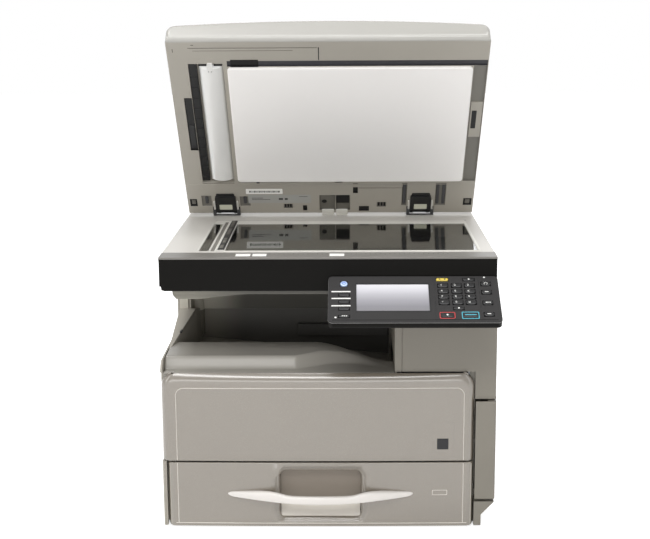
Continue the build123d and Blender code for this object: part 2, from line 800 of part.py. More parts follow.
tray_body = tray_form(frame_low_top, 0)
tray_hollow = tray_form(frame_low_top - 2 * skin, skin)
with BuildPart() as output_tray:
    add(tray_body)
    block(machine, (tray_left - seam, tray_notch), (tray_front - seam, front_thickness + fit),
          (0, door_top + seam), Mode.SUBTRACT)
    add(tray_hollow, mode=Mode.SUBTRACT)
    block(machine, (tray_left, tray_notch + skin),
          (front_thickness + fit, front_thickness + fit + skin), (frame_low_top, door_top - skin))
    block(machine, (tray_notch, tray_notch + skin), (tray_front, front_thickness + fit + skin),
          (frame_low_top, door_top - skin))
save(output_tray, "output_tray")

# Scanner support: the cavity's rear wall, its left post, a foot plate and a top plate
with BuildPart() as scanner_support:
    with BuildSketch(Plane.XY.offset(frame_low_top)):
        with BuildLine(machine.location):
            Polyline((tray_left, post_front), (post_inner - post_round / 4, post_front))
            RadiusArc((post_inner - post_round / 4, post_front),
                      (post_inner, post_front + post_round / 4), post_round / 4)
            Line((post_inner, post_front + post_round / 4), (post_inner, wall_depth - post_round))
            RadiusArc((post_inner, wall_depth - post_round), (post_inner + post_round, wall_depth),
                      -post_round)
            Polyline((post_inner + post_round, wall_depth), (tray_right + fit, wall_depth),
                     (tray_right + fit, wall_depth + skin), (post_inner, wall_depth + skin),
                     (post_inner, frame_back), (tray_left, frame_back), (tray_left, post_front))
        make_face()
    extrude(amount=case_bottom - frame_low_top)
    block(machine, (tray_left + skin, post_inner - skin), (post_front + skin, frame_back - skin),
          (frame_low_top + skin, case_bottom - skin), Mode.SUBTRACT)
    block(machine, (tray_left, tray_right), (wall_depth, frame_back),
          (frame_low_top, frame_low_top + skin))
    block(machine, (tray_left, tray_right), (wall_depth, frame_back), (case_bottom - skin, case_bottom))
    block(machine, (tray_left, tray_right), (post_front - skin, wall_depth), (0, frame_low_top + skin),
          Mode.SUBTRACT)
    block(machine, (tray_left, post_inner + post_round), (post_front - skin, wall_depth),
          (frame_low_top, tray_floor_left + skin), Mode.SUBTRACT)
save(scanner_support, "scanner_support")

# Toner bottle: a cylinder with a neck, lying front to back on the frame's shelf
shelf_top = frame_shelf + sheet
with BuildPart() as toner_bottle:
    shaft(machine, toner_x, (toner_front, toner_front + toner_length), shelf_top + fit + toner_radius,
          toner_radius)
    chamfer(toner_bottle.edges().filter_by(GeomType.CIRCLE), toner_radius / 8)
    shaft(machine, toner_x, (toner_front + toner_length, toner_front + toner_length + toner_neck),
          shelf_top + fit + toner_radius, toner_neck_radius)
    block(machine, (toner_x - toner_foot / 2, toner_x + toner_foot / 2),
          (toner_front, toner_front + 2 * toner_foot),
          (shelf_top, shelf_top + fit + toner_radius))
save(toner_bottle, "toner_bottle")

# Drum unit: a carriage with the photoconductor drum across it
drum_x = drum_right - drum_radius
drum_z = shelf_top + drum_height / 2
with BuildPart() as drum_unit:
    block(machine, (drum_left, drum_right - drum_radius), (unit_front, unit_front + unit_length),
          (shelf_top, shelf_top + drum_height))
    shaft(machine, drum_x, (unit_front + drum_cheek, unit_front + unit_length - drum_cheek), drum_z,
          drum_radius + seam, Mode.SUBTRACT)
    shaft(machine, drum_x, (unit_front + drum_cheek / 2, unit_front + unit_length - drum_cheek / 2),
          drum_z,
          drum_radius / 4)
    shaft(machine, drum_x,
          (unit_front + drum_cheek + seam, unit_front + unit_length - drum_cheek - seam), drum_z,
          drum_radius)
    block(machine, (drum_left + drum_cheek, drum_left + drum_cheek + drum_grip),
          (unit_front - drum_cheek / 2, unit_front),
          (drum_z - drum_grip / 2, drum_z + drum_grip / 2))
save(drum_unit, "drum_unit")

# Fuser unit: a housing with two heat rollers above the drum
fuser_z = tower_shelf + fuser_height / 2
fuser_x = (fuser_left + fuser_right) / 2
with BuildPart() as fuser_unit:
    block(machine, (fuser_left, fuser_right), (unit_front, unit_front + unit_length),
          (tower_shelf, tower_shelf + fuser_height))
    block(machine, (fuser_left + skin, fuser_right - skin), (unit_front + skin,
                                                             unit_front + unit_length - skin),
          (tower_shelf + skin, tower_shelf + fuser_height + skin), Mode.SUBTRACT)
    for side in (-1, 1):
        shaft(machine, fuser_x + side * (fuser_roller + fit), (unit_front + skin / 2,
                                                               unit_front + unit_length - skin / 2),
              fuser_z, fuser_roller)
save(fuser_unit, "fuser_unit")

# Laser unit: a flat sealed box with its scan window, under the output tray
with BuildPart() as laser_unit:
    block(machine, (laser_left, laser_right), (laser_front, laser_front + laser_length),
          (shelf_top, shelf_top + laser_height))
    fillet(laser_unit.edges().filter_by(Axis.Z), laser_corner)
    block(machine, (laser_right - sheet, laser_right + sheet),
          (laser_front + 2 * laser_corner, laser_front + laser_length - 2 * laser_corner),
          (shelf_top + laser_height / 2, shelf_top + laser_height / 2 + laser_corner), Mode.SUBTRACT)
save(laser_unit, "laser_unit")

# Scanner case: an open tub with a belly under its left end and a rail for the carriage
case_half = half_width - skin
case_top = scanner_top_z - skin
case_front = skin + seam
case_back = body_depth - 2 * skin
with BuildPart() as scanner_case:
    block(machine, (-case_half, case_half), (case_front, case_back), (case_bottom, case_top))
    with BuildSketch(Plane.XZ.offset(-front_y - post_front + skin)):
        with BuildLine():
            Polyline((belly_left, case_bottom), (belly_left + belly_slope, case_bottom - belly_drop),
                     (belly_flat, case_bottom - belly_drop))
            ThreePointArc((belly_flat, case_bottom - belly_drop),
                          ((belly_flat + belly_end) / 2, case_bottom - belly_drop * 0.4), (belly_end,
                                                                                           case_bottom))
            Line((belly_end, case_bottom), (belly_left, case_bottom))
        make_face()
    extrude(amount=post_front - skin - case_front - 2 * skin)
    block(machine, (-case_half + skin, case_half - skin), (case_front + skin, case_back - skin),
          (case_bottom + skin, case_top + skin), Mode.SUBTRACT)
    block(machine, (-case_half + skin, case_half - skin), (rail_depth - rail_width / 2,
                                                           rail_depth + rail_width / 2),
          (case_bottom + skin, case_bottom + skin + rail_height))
save(scanner_case, "scanner_case")

# Scan carriage: a lamp and mirror bar across the glass, riding on the rail
carriage_bottom = case_bottom + skin + rail_height / 2
with BuildPart() as scan_carriage:
    block(machine, (carriage_left, carriage_left + carriage_width), (slit_front, slit_back),
          (carriage_bottom, carriage_bottom + carriage_height))
    block(machine, (carriage_left - seam, carriage_left + carriage_width + seam),
          (rail_depth - rail_width / 2 - fit, rail_depth + rail_width / 2 + fit),
          (carriage_bottom - seam, case_bottom + skin + rail_height + fit), Mode.SUBTRACT)
    block(machine, (carriage_left + lamp_inset, carriage_left + lamp_inset + lamp_slot),
          (slit_front + lamp_slot, slit_back - lamp_slot),
          (carriage_bottom + carriage_height - lamp_slot, carriage_bottom + carriage_height + seam),
          Mode.SUBTRACT)
save(scan_carriage, "scan_carriage")

# Scanner top: the frame round the platen glass and the slit glass
with BuildPart() as scanner_top:
    block(machine, (-half_width, half_width), (bezel_strip + fit, case_back + skin),
          (case_top, scanner_top_z))
    for left, right, near, far in ((platen_left, platen_right, platen_front, platen_back),
                                   (slit_left, slit_right, slit_front, slit_back)):
        block(machine, (left - fit / 2, right + fit / 2), (near - fit / 2, far + fit / 2),
              (scanner_top_z - glass_thickness, scanner_top_z + skin), Mode.SUBTRACT)
        block(machine, (left + glass_ledge / 2, right - glass_ledge / 2),
              (near + glass_ledge, far - glass_ledge),
              (case_top - skin, scanner_top_z + skin), Mode.SUBTRACT)
    block(machine, (-half_width, -half_width + bezel_side), (bezel_strip + fit, case_back + skin),
          (bezel_bottom, case_top))
    block(machine, (half_width - bezel_side, half_width), (bezel_strip + fit, case_back + skin),
          (bezel_bottom, case_top))
    block(machine, (-half_width, half_width), (case_back + seam / 2, case_back + skin),
          (case_bottom + seam, case_top))
    fillet(scanner_top.edges().filter_by(Axis.Y).group_by(Axis.Z)[-1].sort_by(Axis.X)[0], bezel_side / 2)
    fillet(scanner_top.edges().filter_by(Axis.Y).group_by(Axis.Z)[-1].sort_by(Axis.X)[-1], bezel_side / 2)
save(scanner_top, "scanner_top")

# Scanner glasses: the platen glass and the narrow reading glass, seated on ledges
with BuildPart() as scanner_glasses:
    for left, right, near, far in ((platen_left, platen_right, platen_front, platen_back),
                                   (slit_left, slit_right, slit_front, slit_back)):
        block(machine, (left, right), (near, far), (scanner_top_z - glass_thickness, scanner_top_z))
save(scanner_glasses, "scanner_glasses")

# Front bezel: the dark front wall, its short side walls and the strip on top,
# with two ears in front that carry the control panel
bezel_low_half = half_width - bezel_taper
panel_ears = (panel_left + panel_ear_left, panel_right - panel_ear_right - panel_ear)
panel_pivot = panel.location * Location((0, -panel_pivot_in, -panel_pivot_down))
pivot_depth = panel_pivot.position.Y - front_y
pivot_z = panel_pivot.position.Z
with BuildPart() as front_bezel:
    with BuildSketch(Plane.XZ.offset(-front_y - skin)):
        with BuildLine():
            Polyline((-bezel_low_half, bezel_bottom), (bezel_low_half, bezel_bottom),
                     (half_width, scanner_top_z),
                     (-half_width, scanner_top_z), close=True)
        make_face()
    extrude(amount=skin)
    fillet(front_bezel.edges().filter_by(Axis.Y).group_by(Axis.Z)[0], 2 * skin)
    block(machine, (-half_width, half_width), (0, bezel_strip), (case_top, scanner_top_z))
    for side in (-half_width, half_width - bezel_side):
        block(machine, (side, side + bezel_side), (skin, bezel_strip),
              (bezel_bottom + 2 * skin, case_top))
    fillet(front_bezel.edges().filter_by(Axis.X).group_by(Axis.Z)[-1].sort_by(Axis.Y)[0], skin / 2)
    for ear in panel_ears:
        block(machine, (ear, ear + panel_ear), (pivot_depth, 0),
              (pivot_z - panel_ear_radius, pivot_z + panel_ear_radius))
        rod(machine, (ear, ear + panel_ear), pivot_depth, pivot_z, panel_ear_radius)
        rod(machine, (ear, ear + panel_ear), pivot_depth, pivot_z, panel_pin_radius + pin_gap,
            Mode.SUBTRACT)
save(front_bezel, "front_bezel")

# Hinge brackets: two feet on the scanner top with ears and a pin each
hinge_places = (hinge_left_x, hinge_right_x)
with BuildPart() as hinge_brackets:
    for left in hinge_places:
        block(machine, (left, left + hinge_width), (hinge_base_front, hinge_base_back),
              (scanner_top_z, scanner_top_z + hinge_base))
        for ear in (left, left + hinge_width - hinge_ear):
            block(machine, (ear, ear + hinge_ear), (hinge_depth - hinge_ear_radius,
                                                    hinge_depth + hinge_ear_radius),
                  (scanner_top_z, hinge_z))
            rod(machine, (ear, ear + hinge_ear), hinge_depth, hinge_z, hinge_ear_radius)
        rod(machine, (left, left + hinge_width), hinge_depth, hinge_z, hinge_pin_radius)
save(hinge_brackets, "hinge_brackets")

# Hinge arms: a knuckle on each pin with a plate under the lid
with BuildPart() as hinge_arms:
    for left in hinge_places:
        knuckle = (left + hinge_ear + fit, left + hinge_width - hinge_ear - fit)
        rod(lid, knuckle, 0, 0, hinge_knuckle_radius)
        block(lid, knuckle, (-arm_reach, 0), (-lid_under - arm_plate, -lid_under))
        block(lid, knuckle, (-2 * hinge_knuckle_radius, 0), (-lid_under, -lid_under + sheet))
        rod(lid, knuckle, 0, 0, hinge_pin_radius + pin_gap, Mode.SUBTRACT)
save(hinge_arms, "hinge_arms")

# Lid base: a hollow plate with the bowed fascia along its front edge
notch_reach = 2 * hinge_knuckle_radius + fit
feeder_pivot_x = -half_width + seam + feeder_pivot_inset
feeder_pivot_z = lid_top + fit + feeder_pivot_inset
feeder_ears = (-feeder_front + feeder_ear_inset, -feeder_back - feeder_ear_inset - feeder_ear)
originals_pivot_x = originals_left + 2 * originals_pin_radius
originals_ears = (-originals_front - fit - originals_ear, -originals_back + fit)
lid_half = half_width - seam
with BuildPart() as lid_base:
    block(lid, (-lid_half, lid_half), (-lid_front + 2 * fascia_edge, lid_back), (-lid_under, lid_top))
    block(lid, (-lid_half + skin, lid_half - skin), (-lid_front + fascia_depth, lid_back - skin),
          (-lid_under + skin, lid_top - skin), Mode.SUBTRACT)
    with BuildSketch(lid * Plane.XZ.offset(lid_front - fascia_depth)):
        with BuildLine():
            Polyline((-lid_half, fascia_end), (-lid_half, -lid_under), (lid_half, -lid_under),
                     (lid_half, fascia_end))
            ThreePointArc((lid_half, fascia_end), (0, fascia_crown), (-lid_half, fascia_end))
        fascia = make_face()
        fillet(fascia.vertices().group_by(Axis.Y)[-1], fascia_corner)
    extrude(amount=fascia_depth)
    brow = min(lid_base.faces(), key=lambda face: lid.to_local_coords(face).center().Y)
    fillet(brow.edges(), fascia_edge)
    with BuildSketch(lid * Plane.XZ.offset(lid_front - fascia_depth + skin)):
        with BuildLine():
            Polyline((-lid_half + skin, fascia_end - skin), (-lid_half + skin, -lid_under + skin),
                     (lid_half - skin, -lid_under + skin), (lid_half - skin, fascia_end - skin))
            ThreePointArc((lid_half - skin, fascia_end - skin), (0, fascia_crown - skin),
                          (-lid_half + skin, fascia_end - skin))
        fascia = make_face()
        fillet(fascia.vertices().group_by(Axis.Y)[-1], fascia_corner - skin)
    extrude(amount=fascia_depth - 3 * skin, mode=Mode.SUBTRACT)
    block(lid, (recess_guide_left - sheet, guide_right + fit + sheet),
          (-guide_front - sheet, -guide_back + sheet),
          (-lid_under, -lid_under + recess_guide_depth + sheet))
    block(lid, (recess_guide_left, guide_right + fit), (-guide_front, -guide_back),
          (-lid_under - seam, -lid_under + recess_guide_depth), Mode.SUBTRACT)
    for left in hinge_places:
        block(lid, (left - fit, left + hinge_width + fit), (-notch_reach, lid_back + seam),
              (-lid_under - seam, hinge_ear_radius + fit), Mode.SUBTRACT)
    for ear in feeder_ears:
        block(lid, (feeder_pivot_x - feeder_ear_radius, feeder_pivot_x + feeder_ear_radius),
              (ear, ear + feeder_ear), (lid_top, feeder_pivot_z))
        shaft(lid, feeder_pivot_x, (ear, ear + feeder_ear), feeder_pivot_z, feeder_ear_radius)
        shaft(lid, feeder_pivot_x, (ear, ear + feeder_ear), feeder_pivot_z, feeder_pin_radius + pin_gap,
              Mode.SUBTRACT)
    for ear in originals_ears:
        block(lid, (originals_left, originals_left + 4 * originals_pin_radius),
              (ear, ear + originals_ear),
              (lid_top, originals_z))
        shaft(lid, originals_pivot_x, (ear, ear + originals_ear), originals_z, 2 * originals_pin_radius)
        shaft(lid, originals_pivot_x, (ear, ear + originals_ear), originals_z,
              originals_pin_radius + pin_gap, Mode.SUBTRACT)
save(lid_base, "lid_base")

# Platen pad: the white sheet of foam that holds an original flat
with BuildPart() as platen_pad:
    block(lid, (pad_left, pad_right), (-pad_front, -pad_back), (-lid_under - pad_thickness, -lid_under))
    fillet(platen_pad.edges().filter_by(lambda edge: abs(edge.length - pad_thickness) < fit), 2 * skin)
save(platen_pad, "platen_pad")

# Reading guide: the bowed white plate that faces the reading glass
guide_floor = -lid_under + recess_guide_depth
guide_edge = guide_floor - guide_sheet
with BuildPart() as reading_guide:
    with BuildSketch(lid * Plane.XZ.offset(guide_back + seam)):
        with BuildLine():
            Polyline((guide_left, guide_edge), (guide_left, guide_floor), (guide_right, guide_floor),
                     (guide_right, guide_edge))
            ThreePointArc((guide_right, guide_edge),
                          ((guide_left + guide_right) / 2, -lid_under - guide_rise),
                          (guide_left, guide_edge))
        make_face()
    extrude(amount=guide_front - guide_back - 2 * seam)
save(reading_guide, "reading_guide")

# Feed cover: the rounded hood over the document feeder, hinged at its left edge
feeder_left = -lid_half


def hood(inset, bottom):
    """The hood's rounded form above a height on the lid, drawn in by inset."""
    with BuildPart() as form:
        block(lid, (feeder_left + inset, feeder_right - inset),
              (-feeder_front + inset, -feeder_back - inset),
              (bottom, feeder_top - inset))
        crest = form.faces().filter_by(lambda face: face.normal_at().dot(Vector(lid_normal)) > 0.99)
        fillet(crest.edges(), feeder_round - inset)
        foot = form.edges().filter_by(lambda edge: edge.center().X < feeder_left + inset + seam / 2 and
                                      abs(lid.to_local_coords(edge).center().Z - bottom) < seam / 2)
        fillet(foot, feeder_pivot_inset - inset)
    return form.part


hood_space = hood(0, lid_top + fit)
hood_hollow = hood(skin, lid_top - skin)
with BuildPart() as feed_cover:
    add(hood_space)
    add(hood_hollow, mode=Mode.SUBTRACT)
    for ear in feeder_ears:
        block(lid, (feeder_left - seam, feeder_pivot_x), (ear - fit, ear + feeder_ear + fit),
              (lid_top, feeder_pivot_z + feeder_ear_radius + fit), Mode.SUBTRACT)
        block(lid, (feeder_left + skin - fit, feeder_pivot_x + feeder_ear_radius),
              (ear + feeder_ear + fit, ear + 2 * feeder_ear + fit),
              (feeder_pivot_z - feeder_ear_radius, feeder_pivot_z + feeder_ear_radius))
        shaft(lid, feeder_pivot_x, (ear - fit, ear + feeder_ear + 2 * fit), feeder_pivot_z,
              feeder_pin_radius)
save(feed_cover, "feed_cover")

# Document tray: the plate that holds originals, with side guides and a raised outer end
with BuildPart() as document_tray:
    with BuildSketch(lid * Plane.XZ.offset(originals_back)):
        with BuildLine():
            Polyline((originals_left, originals_z - originals_thickness / 2),
                     (originals_right, originals_z - originals_thickness / 2 + originals_rise),
                     (originals_right, originals_z + originals_thickness / 2 + originals_rise),
                     (originals_left, originals_z + originals_thickness / 2), close=True)
        make_face()
    extrude(amount=originals_front - originals_back)
    shaft(lid, originals_pivot_x, (-originals_front - fit - originals_ear,
                                   -originals_back + fit + originals_ear), originals_z,
          originals_pin_radius)
    for near in (-originals_front + guide_inset, -originals_back - guide_inset - skin):
        block(lid, (originals_left + guide_inset, originals_left + guide_inset + guide_length),
              (near, near + skin),
              (originals_z, originals_z + originals_rise + originals_guide))
save(document_tray, "document_tray")


# Keys on the panel: name, distance from its left edge, distance down the face, width and length
number_columns = (160.3, 179.3, 197.6)
number_rows = (19.8, 32.0, 43.5, 55.0)
number_names = ("one", "two", "three", "four", "five", "six", "seven", "eight", "nine", "star", "zero",
                "hash")
number_width = 14.7
number_length = 8.4
side_key_across = 220.4
left_key_across = 22.0
keys = [("power_key", 21.9, 15.9, 10.4, 10.4)]
keys += [("function_key_" + str(row + 1), left_key_across, 38.7 + 14.2 * row, 15.5, 5.4)
         for row in range(3)]
keys += [("program_key", left_key_across, 82.1, 15.5, 5.4)]
keys += [("reset_key", 160.0, 7.4, 17.0, 5.6), ("interrupt_key", 197.1, 7.6, 17.0, 5.6)]
keys += [("energy_key", side_key_across, 16.6, 14.0, 8.6), ("login_key", side_key_across, 33.7, 14.0, 8.6)]
keys += [("counter_key", side_key_across, 55.4, 14.0, 8.6), ("preview_key", side_key_across, 78.4, 14.0, 8.6)]
for place, number in enumerate(number_names):
    key_centre = (number_columns[place % 3], number_rows[place // 3])
    keys += [("number_key_" + number, key_centre[0], key_centre[1], number_width, number_length)]
keys += [("clear_key", 179.8, 66.6, 14.7, 5.8)]
keys += [("stop_key", 163.4, 80.2, 18.0, 9.6), ("start_key", 195.0, 80.2, 21.0, 10.6)]

# Panel top: the face plate with the screen's window and a hole for each key
with BuildPart() as panel_top:
    block(panel, (panel_left, panel_right), (-panel_length, 0), (-panel_skin, 0))
    fillet(panel_top.edges().filter_by(lambda edge: abs(edge.length - panel_skin) < fit), panel_corner)
    block(panel, (screen_left, screen_right), (-screen_end, -screen_start),
          (-2 * panel_skin, panel_skin), Mode.SUBTRACT)
    for name, across, down, wide, long in keys:
        centre = panel_left + across
        block(panel, (centre - wide / 2 - key_gap, centre + wide / 2 + key_gap),
              (-down - long / 2 - key_gap, -down + long / 2 + key_gap), (-2 * panel_skin, panel_skin),
              Mode.SUBTRACT)
save(panel_top, "panel_top")

# Panel case: the shell under the face plate, cut back where it turns past the bezel
with BuildPart() as panel_case:
    block(panel, (panel_left, panel_right), (-panel_length, 0), (-panel_thickness, -panel_skin))
    upright = panel_case.edges().filter_by(
        lambda edge: abs(edge.length - panel_thickness + panel_skin) < fit)
    fillet(upright, panel_corner)
    block(panel, (panel_left + panel_wall, panel_right - panel_wall),
          (-panel_length + panel_wall, -panel_wall),
          (-panel_thickness + panel_wall, 0), Mode.SUBTRACT)
    for ear in panel_ears:
        block(panel, (ear - fit - panel_wall, ear + panel_ear + fit + panel_wall),
              (-panel_pivot_in - panel_ear_radius - fit, -panel_wall), (-panel_thickness, -panel_skin))
    with BuildSketch(Plane.YZ):
        with BuildLine(Location((front_y, 0, 0))):
            Polyline((-panel_clear, panel_top_z), (-panel_clear, pivot_z),
                     (pivot_depth + seam, pivot_z + pivot_depth),
                     (pivot_depth + seam, case_bottom), (skin, case_bottom), (skin,
                                                                              panel_top_z), close=True)
        make_face()
    extrude(amount=half_width, mode=Mode.SUBTRACT)
    for ear in panel_ears:
        block(machine, (ear - fit, ear + panel_ear + fit), (pivot_depth - panel_ear_radius - fit, skin),
              (case_bottom, pivot_z + panel_ear_radius + fit), Mode.SUBTRACT)
        rod(machine, (ear - fit - seam, ear + panel_ear + fit + seam), pivot_depth, pivot_z,
            panel_pin_radius)
save(panel_case, "panel_case")

# Touch screen: the display in its window
with BuildPart() as touch_screen:
    block(panel, (screen_left + fit, screen_right - fit), (-screen_end + fit, -screen_start - fit),
          (-screen_sink - screen_thickness, -screen_sink))
save(touch_screen, "touch_screen")

# Panel keys: a cap in its hole with a flange under the face plate
for name, across, down, wide, long in keys:
    centre = panel_left + across
    with BuildPart() as key:
        block(panel, (centre - wide / 2, centre + wide / 2), (-down - long / 2, -down + long / 2),
              (-panel_skin - key_depth, key_rise))
        upright = key.edges().filter_by(
            lambda edge: abs(edge.length - panel_skin - key_depth - key_rise) < fit)
        fillet(upright, long * round_share if wide == long else key_round)
        block(panel, (centre - wide / 2 - key_flange, centre + wide / 2 + key_flange),
              (-down - long / 2 - key_flange, -down + long / 2 + key_flange),
              (-panel_skin - fit - seam, -panel_skin - fit))
    save(key, name)
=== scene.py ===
import math

import bmesh
import bpy
from mathutils import Matrix, Vector


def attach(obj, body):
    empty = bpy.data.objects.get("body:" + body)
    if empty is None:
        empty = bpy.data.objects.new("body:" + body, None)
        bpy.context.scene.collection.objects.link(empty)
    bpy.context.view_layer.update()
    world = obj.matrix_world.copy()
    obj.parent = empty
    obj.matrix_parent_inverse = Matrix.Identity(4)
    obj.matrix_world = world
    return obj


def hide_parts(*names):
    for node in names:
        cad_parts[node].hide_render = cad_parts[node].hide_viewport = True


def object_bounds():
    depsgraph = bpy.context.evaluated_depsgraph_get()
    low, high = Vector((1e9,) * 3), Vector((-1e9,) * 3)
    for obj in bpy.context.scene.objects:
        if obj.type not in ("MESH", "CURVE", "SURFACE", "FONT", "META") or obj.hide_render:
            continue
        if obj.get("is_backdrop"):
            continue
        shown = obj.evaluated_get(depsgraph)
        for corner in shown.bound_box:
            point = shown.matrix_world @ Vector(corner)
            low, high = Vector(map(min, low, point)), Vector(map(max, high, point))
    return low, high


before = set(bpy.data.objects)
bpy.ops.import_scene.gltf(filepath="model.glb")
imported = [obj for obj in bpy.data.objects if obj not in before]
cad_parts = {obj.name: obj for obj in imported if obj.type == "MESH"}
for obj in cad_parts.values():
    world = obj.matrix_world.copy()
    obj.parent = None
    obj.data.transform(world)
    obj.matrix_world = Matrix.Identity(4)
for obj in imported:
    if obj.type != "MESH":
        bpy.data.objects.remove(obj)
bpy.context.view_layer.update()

# Places are in millimetres in a space's own frame, and every space maps them to the row frame in metres.
MM = 0.001
SMOOTH = math.radians(32)
FRONT_Y = -182.73
CASING_DEPTH = 449
CASING_HALF = 243
HINGE_Y, HINGE_Z = 379.2, 416
LID_ANGLE = math.radians(49.84)
PANEL_SLOPE = math.radians(30.0)
SCANNER_TOP = 406.0
FRONT_LEFT, FRONT_RIGHT = -236.0, 211.4


def space(origin, across, up):
    """The matrix of a space from its origin, its X direction and its Y direction."""
    x = Vector(across).normalized()
    z = x.cross(Vector(up)).normalized()
    y = z.cross(x)
    turn = Matrix((x, y, z)).transposed().to_4x4()
    return Matrix.Scale(MM, 4) @ Matrix.Translation(origin) @ turn


machine = space((0, FRONT_Y, 0), (1, 0, 0), (0, 1, 0))
front = space((0, FRONT_Y, 0), (1, 0, 0), (0, 0, 1))
left_side = space((-CASING_HALF, FRONT_Y, 0), (0, -1, 0), (0, 0, 1))
back = space((0, FRONT_Y + CASING_DEPTH, 0), (-1, 0, 0), (0, 0, 1))
lid = space((0, FRONT_Y + HINGE_Y, HINGE_Z), (1, 0, 0), (0, math.cos(LID_ANGLE), -math.sin(LID_ANGLE)))
underside = lid @ Matrix.Translation((0, 0, -5)) @ Matrix.Rotation(math.pi, 4, "X")
panel = space((0, FRONT_Y - 3, 378.9), (1, 0, 0), (0, math.cos(PANEL_SLOPE), math.sin(PANEL_SLOPE)))


# Materials
def screen(red, green, blue):
    """A colour given in screen values from 0 to 255, as linear light."""
    values = []
    for value in (red, green, blue):
        share = value / 255
        values.append(share / 12.92 if share <= 0.04045 else ((share + 0.055) / 1.055) ** 2.4)
    return (*values, 1.0)


def shaded(colour, factor):
    """A colour made lighter or darker by a factor."""
    return (*(min(1.0, value * factor) for value in colour[:3]), 1.0)


def fill(node, inputs):
    """Give a node's inputs, by name or number, a value each, or another node's output to follow."""
    for key, value in inputs.items():
        if isinstance(value, bpy.types.NodeSocket):
            node.id_data.links.new(value, node.inputs[key])
        else:
            node.inputs[key].default_value = value


def add_node(tree, kind, inputs):
    """Add a shader node with its inputs filled."""
    node = tree.nodes.new("ShaderNode" + kind)
    fill(node, inputs)
    return node


def add_blend(tree, share, low, high):
    """The output of a node that goes from one colour to another."""
    blend = tree.nodes.new("ShaderNodeMix")
    blend.data_type = "RGBA"
    fill(blend, {0: share, 6: low, 7: high})
    return blend.outputs[2]


def add_range(tree, value, low, high, end="To"):
    """The output of a node that maps a value, to two ends or from two ends."""
    node = add_node(tree, "MapRange", {"Value": value, end + " Min": low, end + " Max": high})
    return node.outputs["Result"]


def started(name):
    """A new material with its tree, its shader and the place on the object."""
    material = bpy.data.materials.new(name)
    material.use_nodes = True
    tree = material.node_tree
    place = add_node(tree, "TexCoord", {}).outputs["Object"]
    return material, tree, tree.nodes["Principled BSDF"], place


def moulded(name, colour, rough=0.45, grain=0.25, size=0.8, drift=0.03, edge=0.5, coat=0.0, gloss=0.5):
    """Moulded plastic with a fine grain, a slight drift in colour and softened edges."""
    material, tree, shader, place = started(name)
    cloud = add_node(tree, "TexNoise", {"Vector": place, "Scale": 14.0, "Detail": 3.0}).outputs["Fac"]
    tone = add_blend(tree, cloud, shaded(colour, 1 - drift), shaded(colour, 1 + drift))
    speckle = add_node(tree, "TexNoise", {"Vector": place, "Scale": 1 / (size * MM), "Detail": 2.0})
    pebble = speckle.outputs["Fac"]
    finish = add_range(tree, pebble, rough - 0.06, rough + 0.06)
    bump = add_node(tree, "Bump", {"Height": pebble, "Strength": grain, "Distance": 0.00006})
    if edge:
        soft = add_node(tree, "Bevel", {"Radius": edge * MM})
        soft.samples = 4
        fill(bump, {"Normal": soft.outputs["Normal"]})
    fill(shader, {"Base Color": tone, "Roughness": finish, "Normal": bump.outputs["Normal"],
                  "Specular IOR Level": gloss, "Coat Weight": coat, "Coat Roughness": 0.12})
    return material


def seat_of(material):
    """A material's tree, its shader and the place on the object."""
    tree = material.node_tree
    return tree, tree.nodes["Principled BSDF"], tree.nodes["Texture Coordinate"].outputs["Object"]


def metal(name, colour, rough):
    """Sheet metal with brushed streaks."""
    material = moulded(name, screen(*colour), rough, 0.12, 0.5, 0.05, 0.3)
    tree, shader, place = seat_of(material)
    stretch = add_node(tree, "Mapping", {"Vector": place, "Scale": (900.0, 40.0, 900.0)})
    streaks = add_node(tree, "TexNoise", {"Vector": stretch.outputs["Vector"], "Scale": 1.0})
    fill(shader, {"Metallic": 0.9,
                  "Roughness": add_range(tree, streaks.outputs["Fac"], rough - 0.1, rough + 0.12)})
    return material


def glazing(name):
    """Clear flat glass with faint smears in its polish."""
    material, tree, shader, place = started(name)
    smear = add_node(tree, "TexNoise", {"Vector": place, "Scale": 12.0, "Detail": 4.0})
    fill(shader, {"Base Color": (0.80, 0.84, 0.83, 1.0), "Transmission Weight": 1.0, "IOR": 1.5,
                  "Roughness": add_range(tree, smear.outputs["Fac"], 0.0, 0.06)})
    return material


# The height in metres below which the foot colours of a painted-shade plastic hold
FOOT_TOP = 0.2666


def painted_shade_plastic(name, pale, deep, low_x, high_x, foot=None):
    """Moulded plastic with painted shade: its colour deepens across the machine, between two X places in
    metres.

    A foot is a second pair of colours, for what lies below a height, where the painted shade is deeper.
    """
    material = moulded(name, screen(*deep), 0.55, 0.4)
    tree, shader, place = seat_of(material)
    apart = add_node(tree, "SeparateXYZ", {"Vector": place})
    across = add_range(tree, apart.outputs["X"], low_x, high_x, "From")
    tones = []
    for colours in (foot or (pale, deep), (pale, deep)):
        ramp = add_node(tree, "ValToRGB", {"Fac": across})
        ramp.color_ramp.interpolation = "EASE"
        for stop, colour in zip(ramp.color_ramp.elements, colours):
            stop.color = screen(*colour)
        tones.append(ramp.outputs["Color"])
    above = add_range(tree, apart.outputs["Z"], FOOT_TOP - 0.0006, FOOT_TOP + 0.0006, "From")
    fill(shader, {"Base Color": add_blend(tree, above, *tones)})
    return material


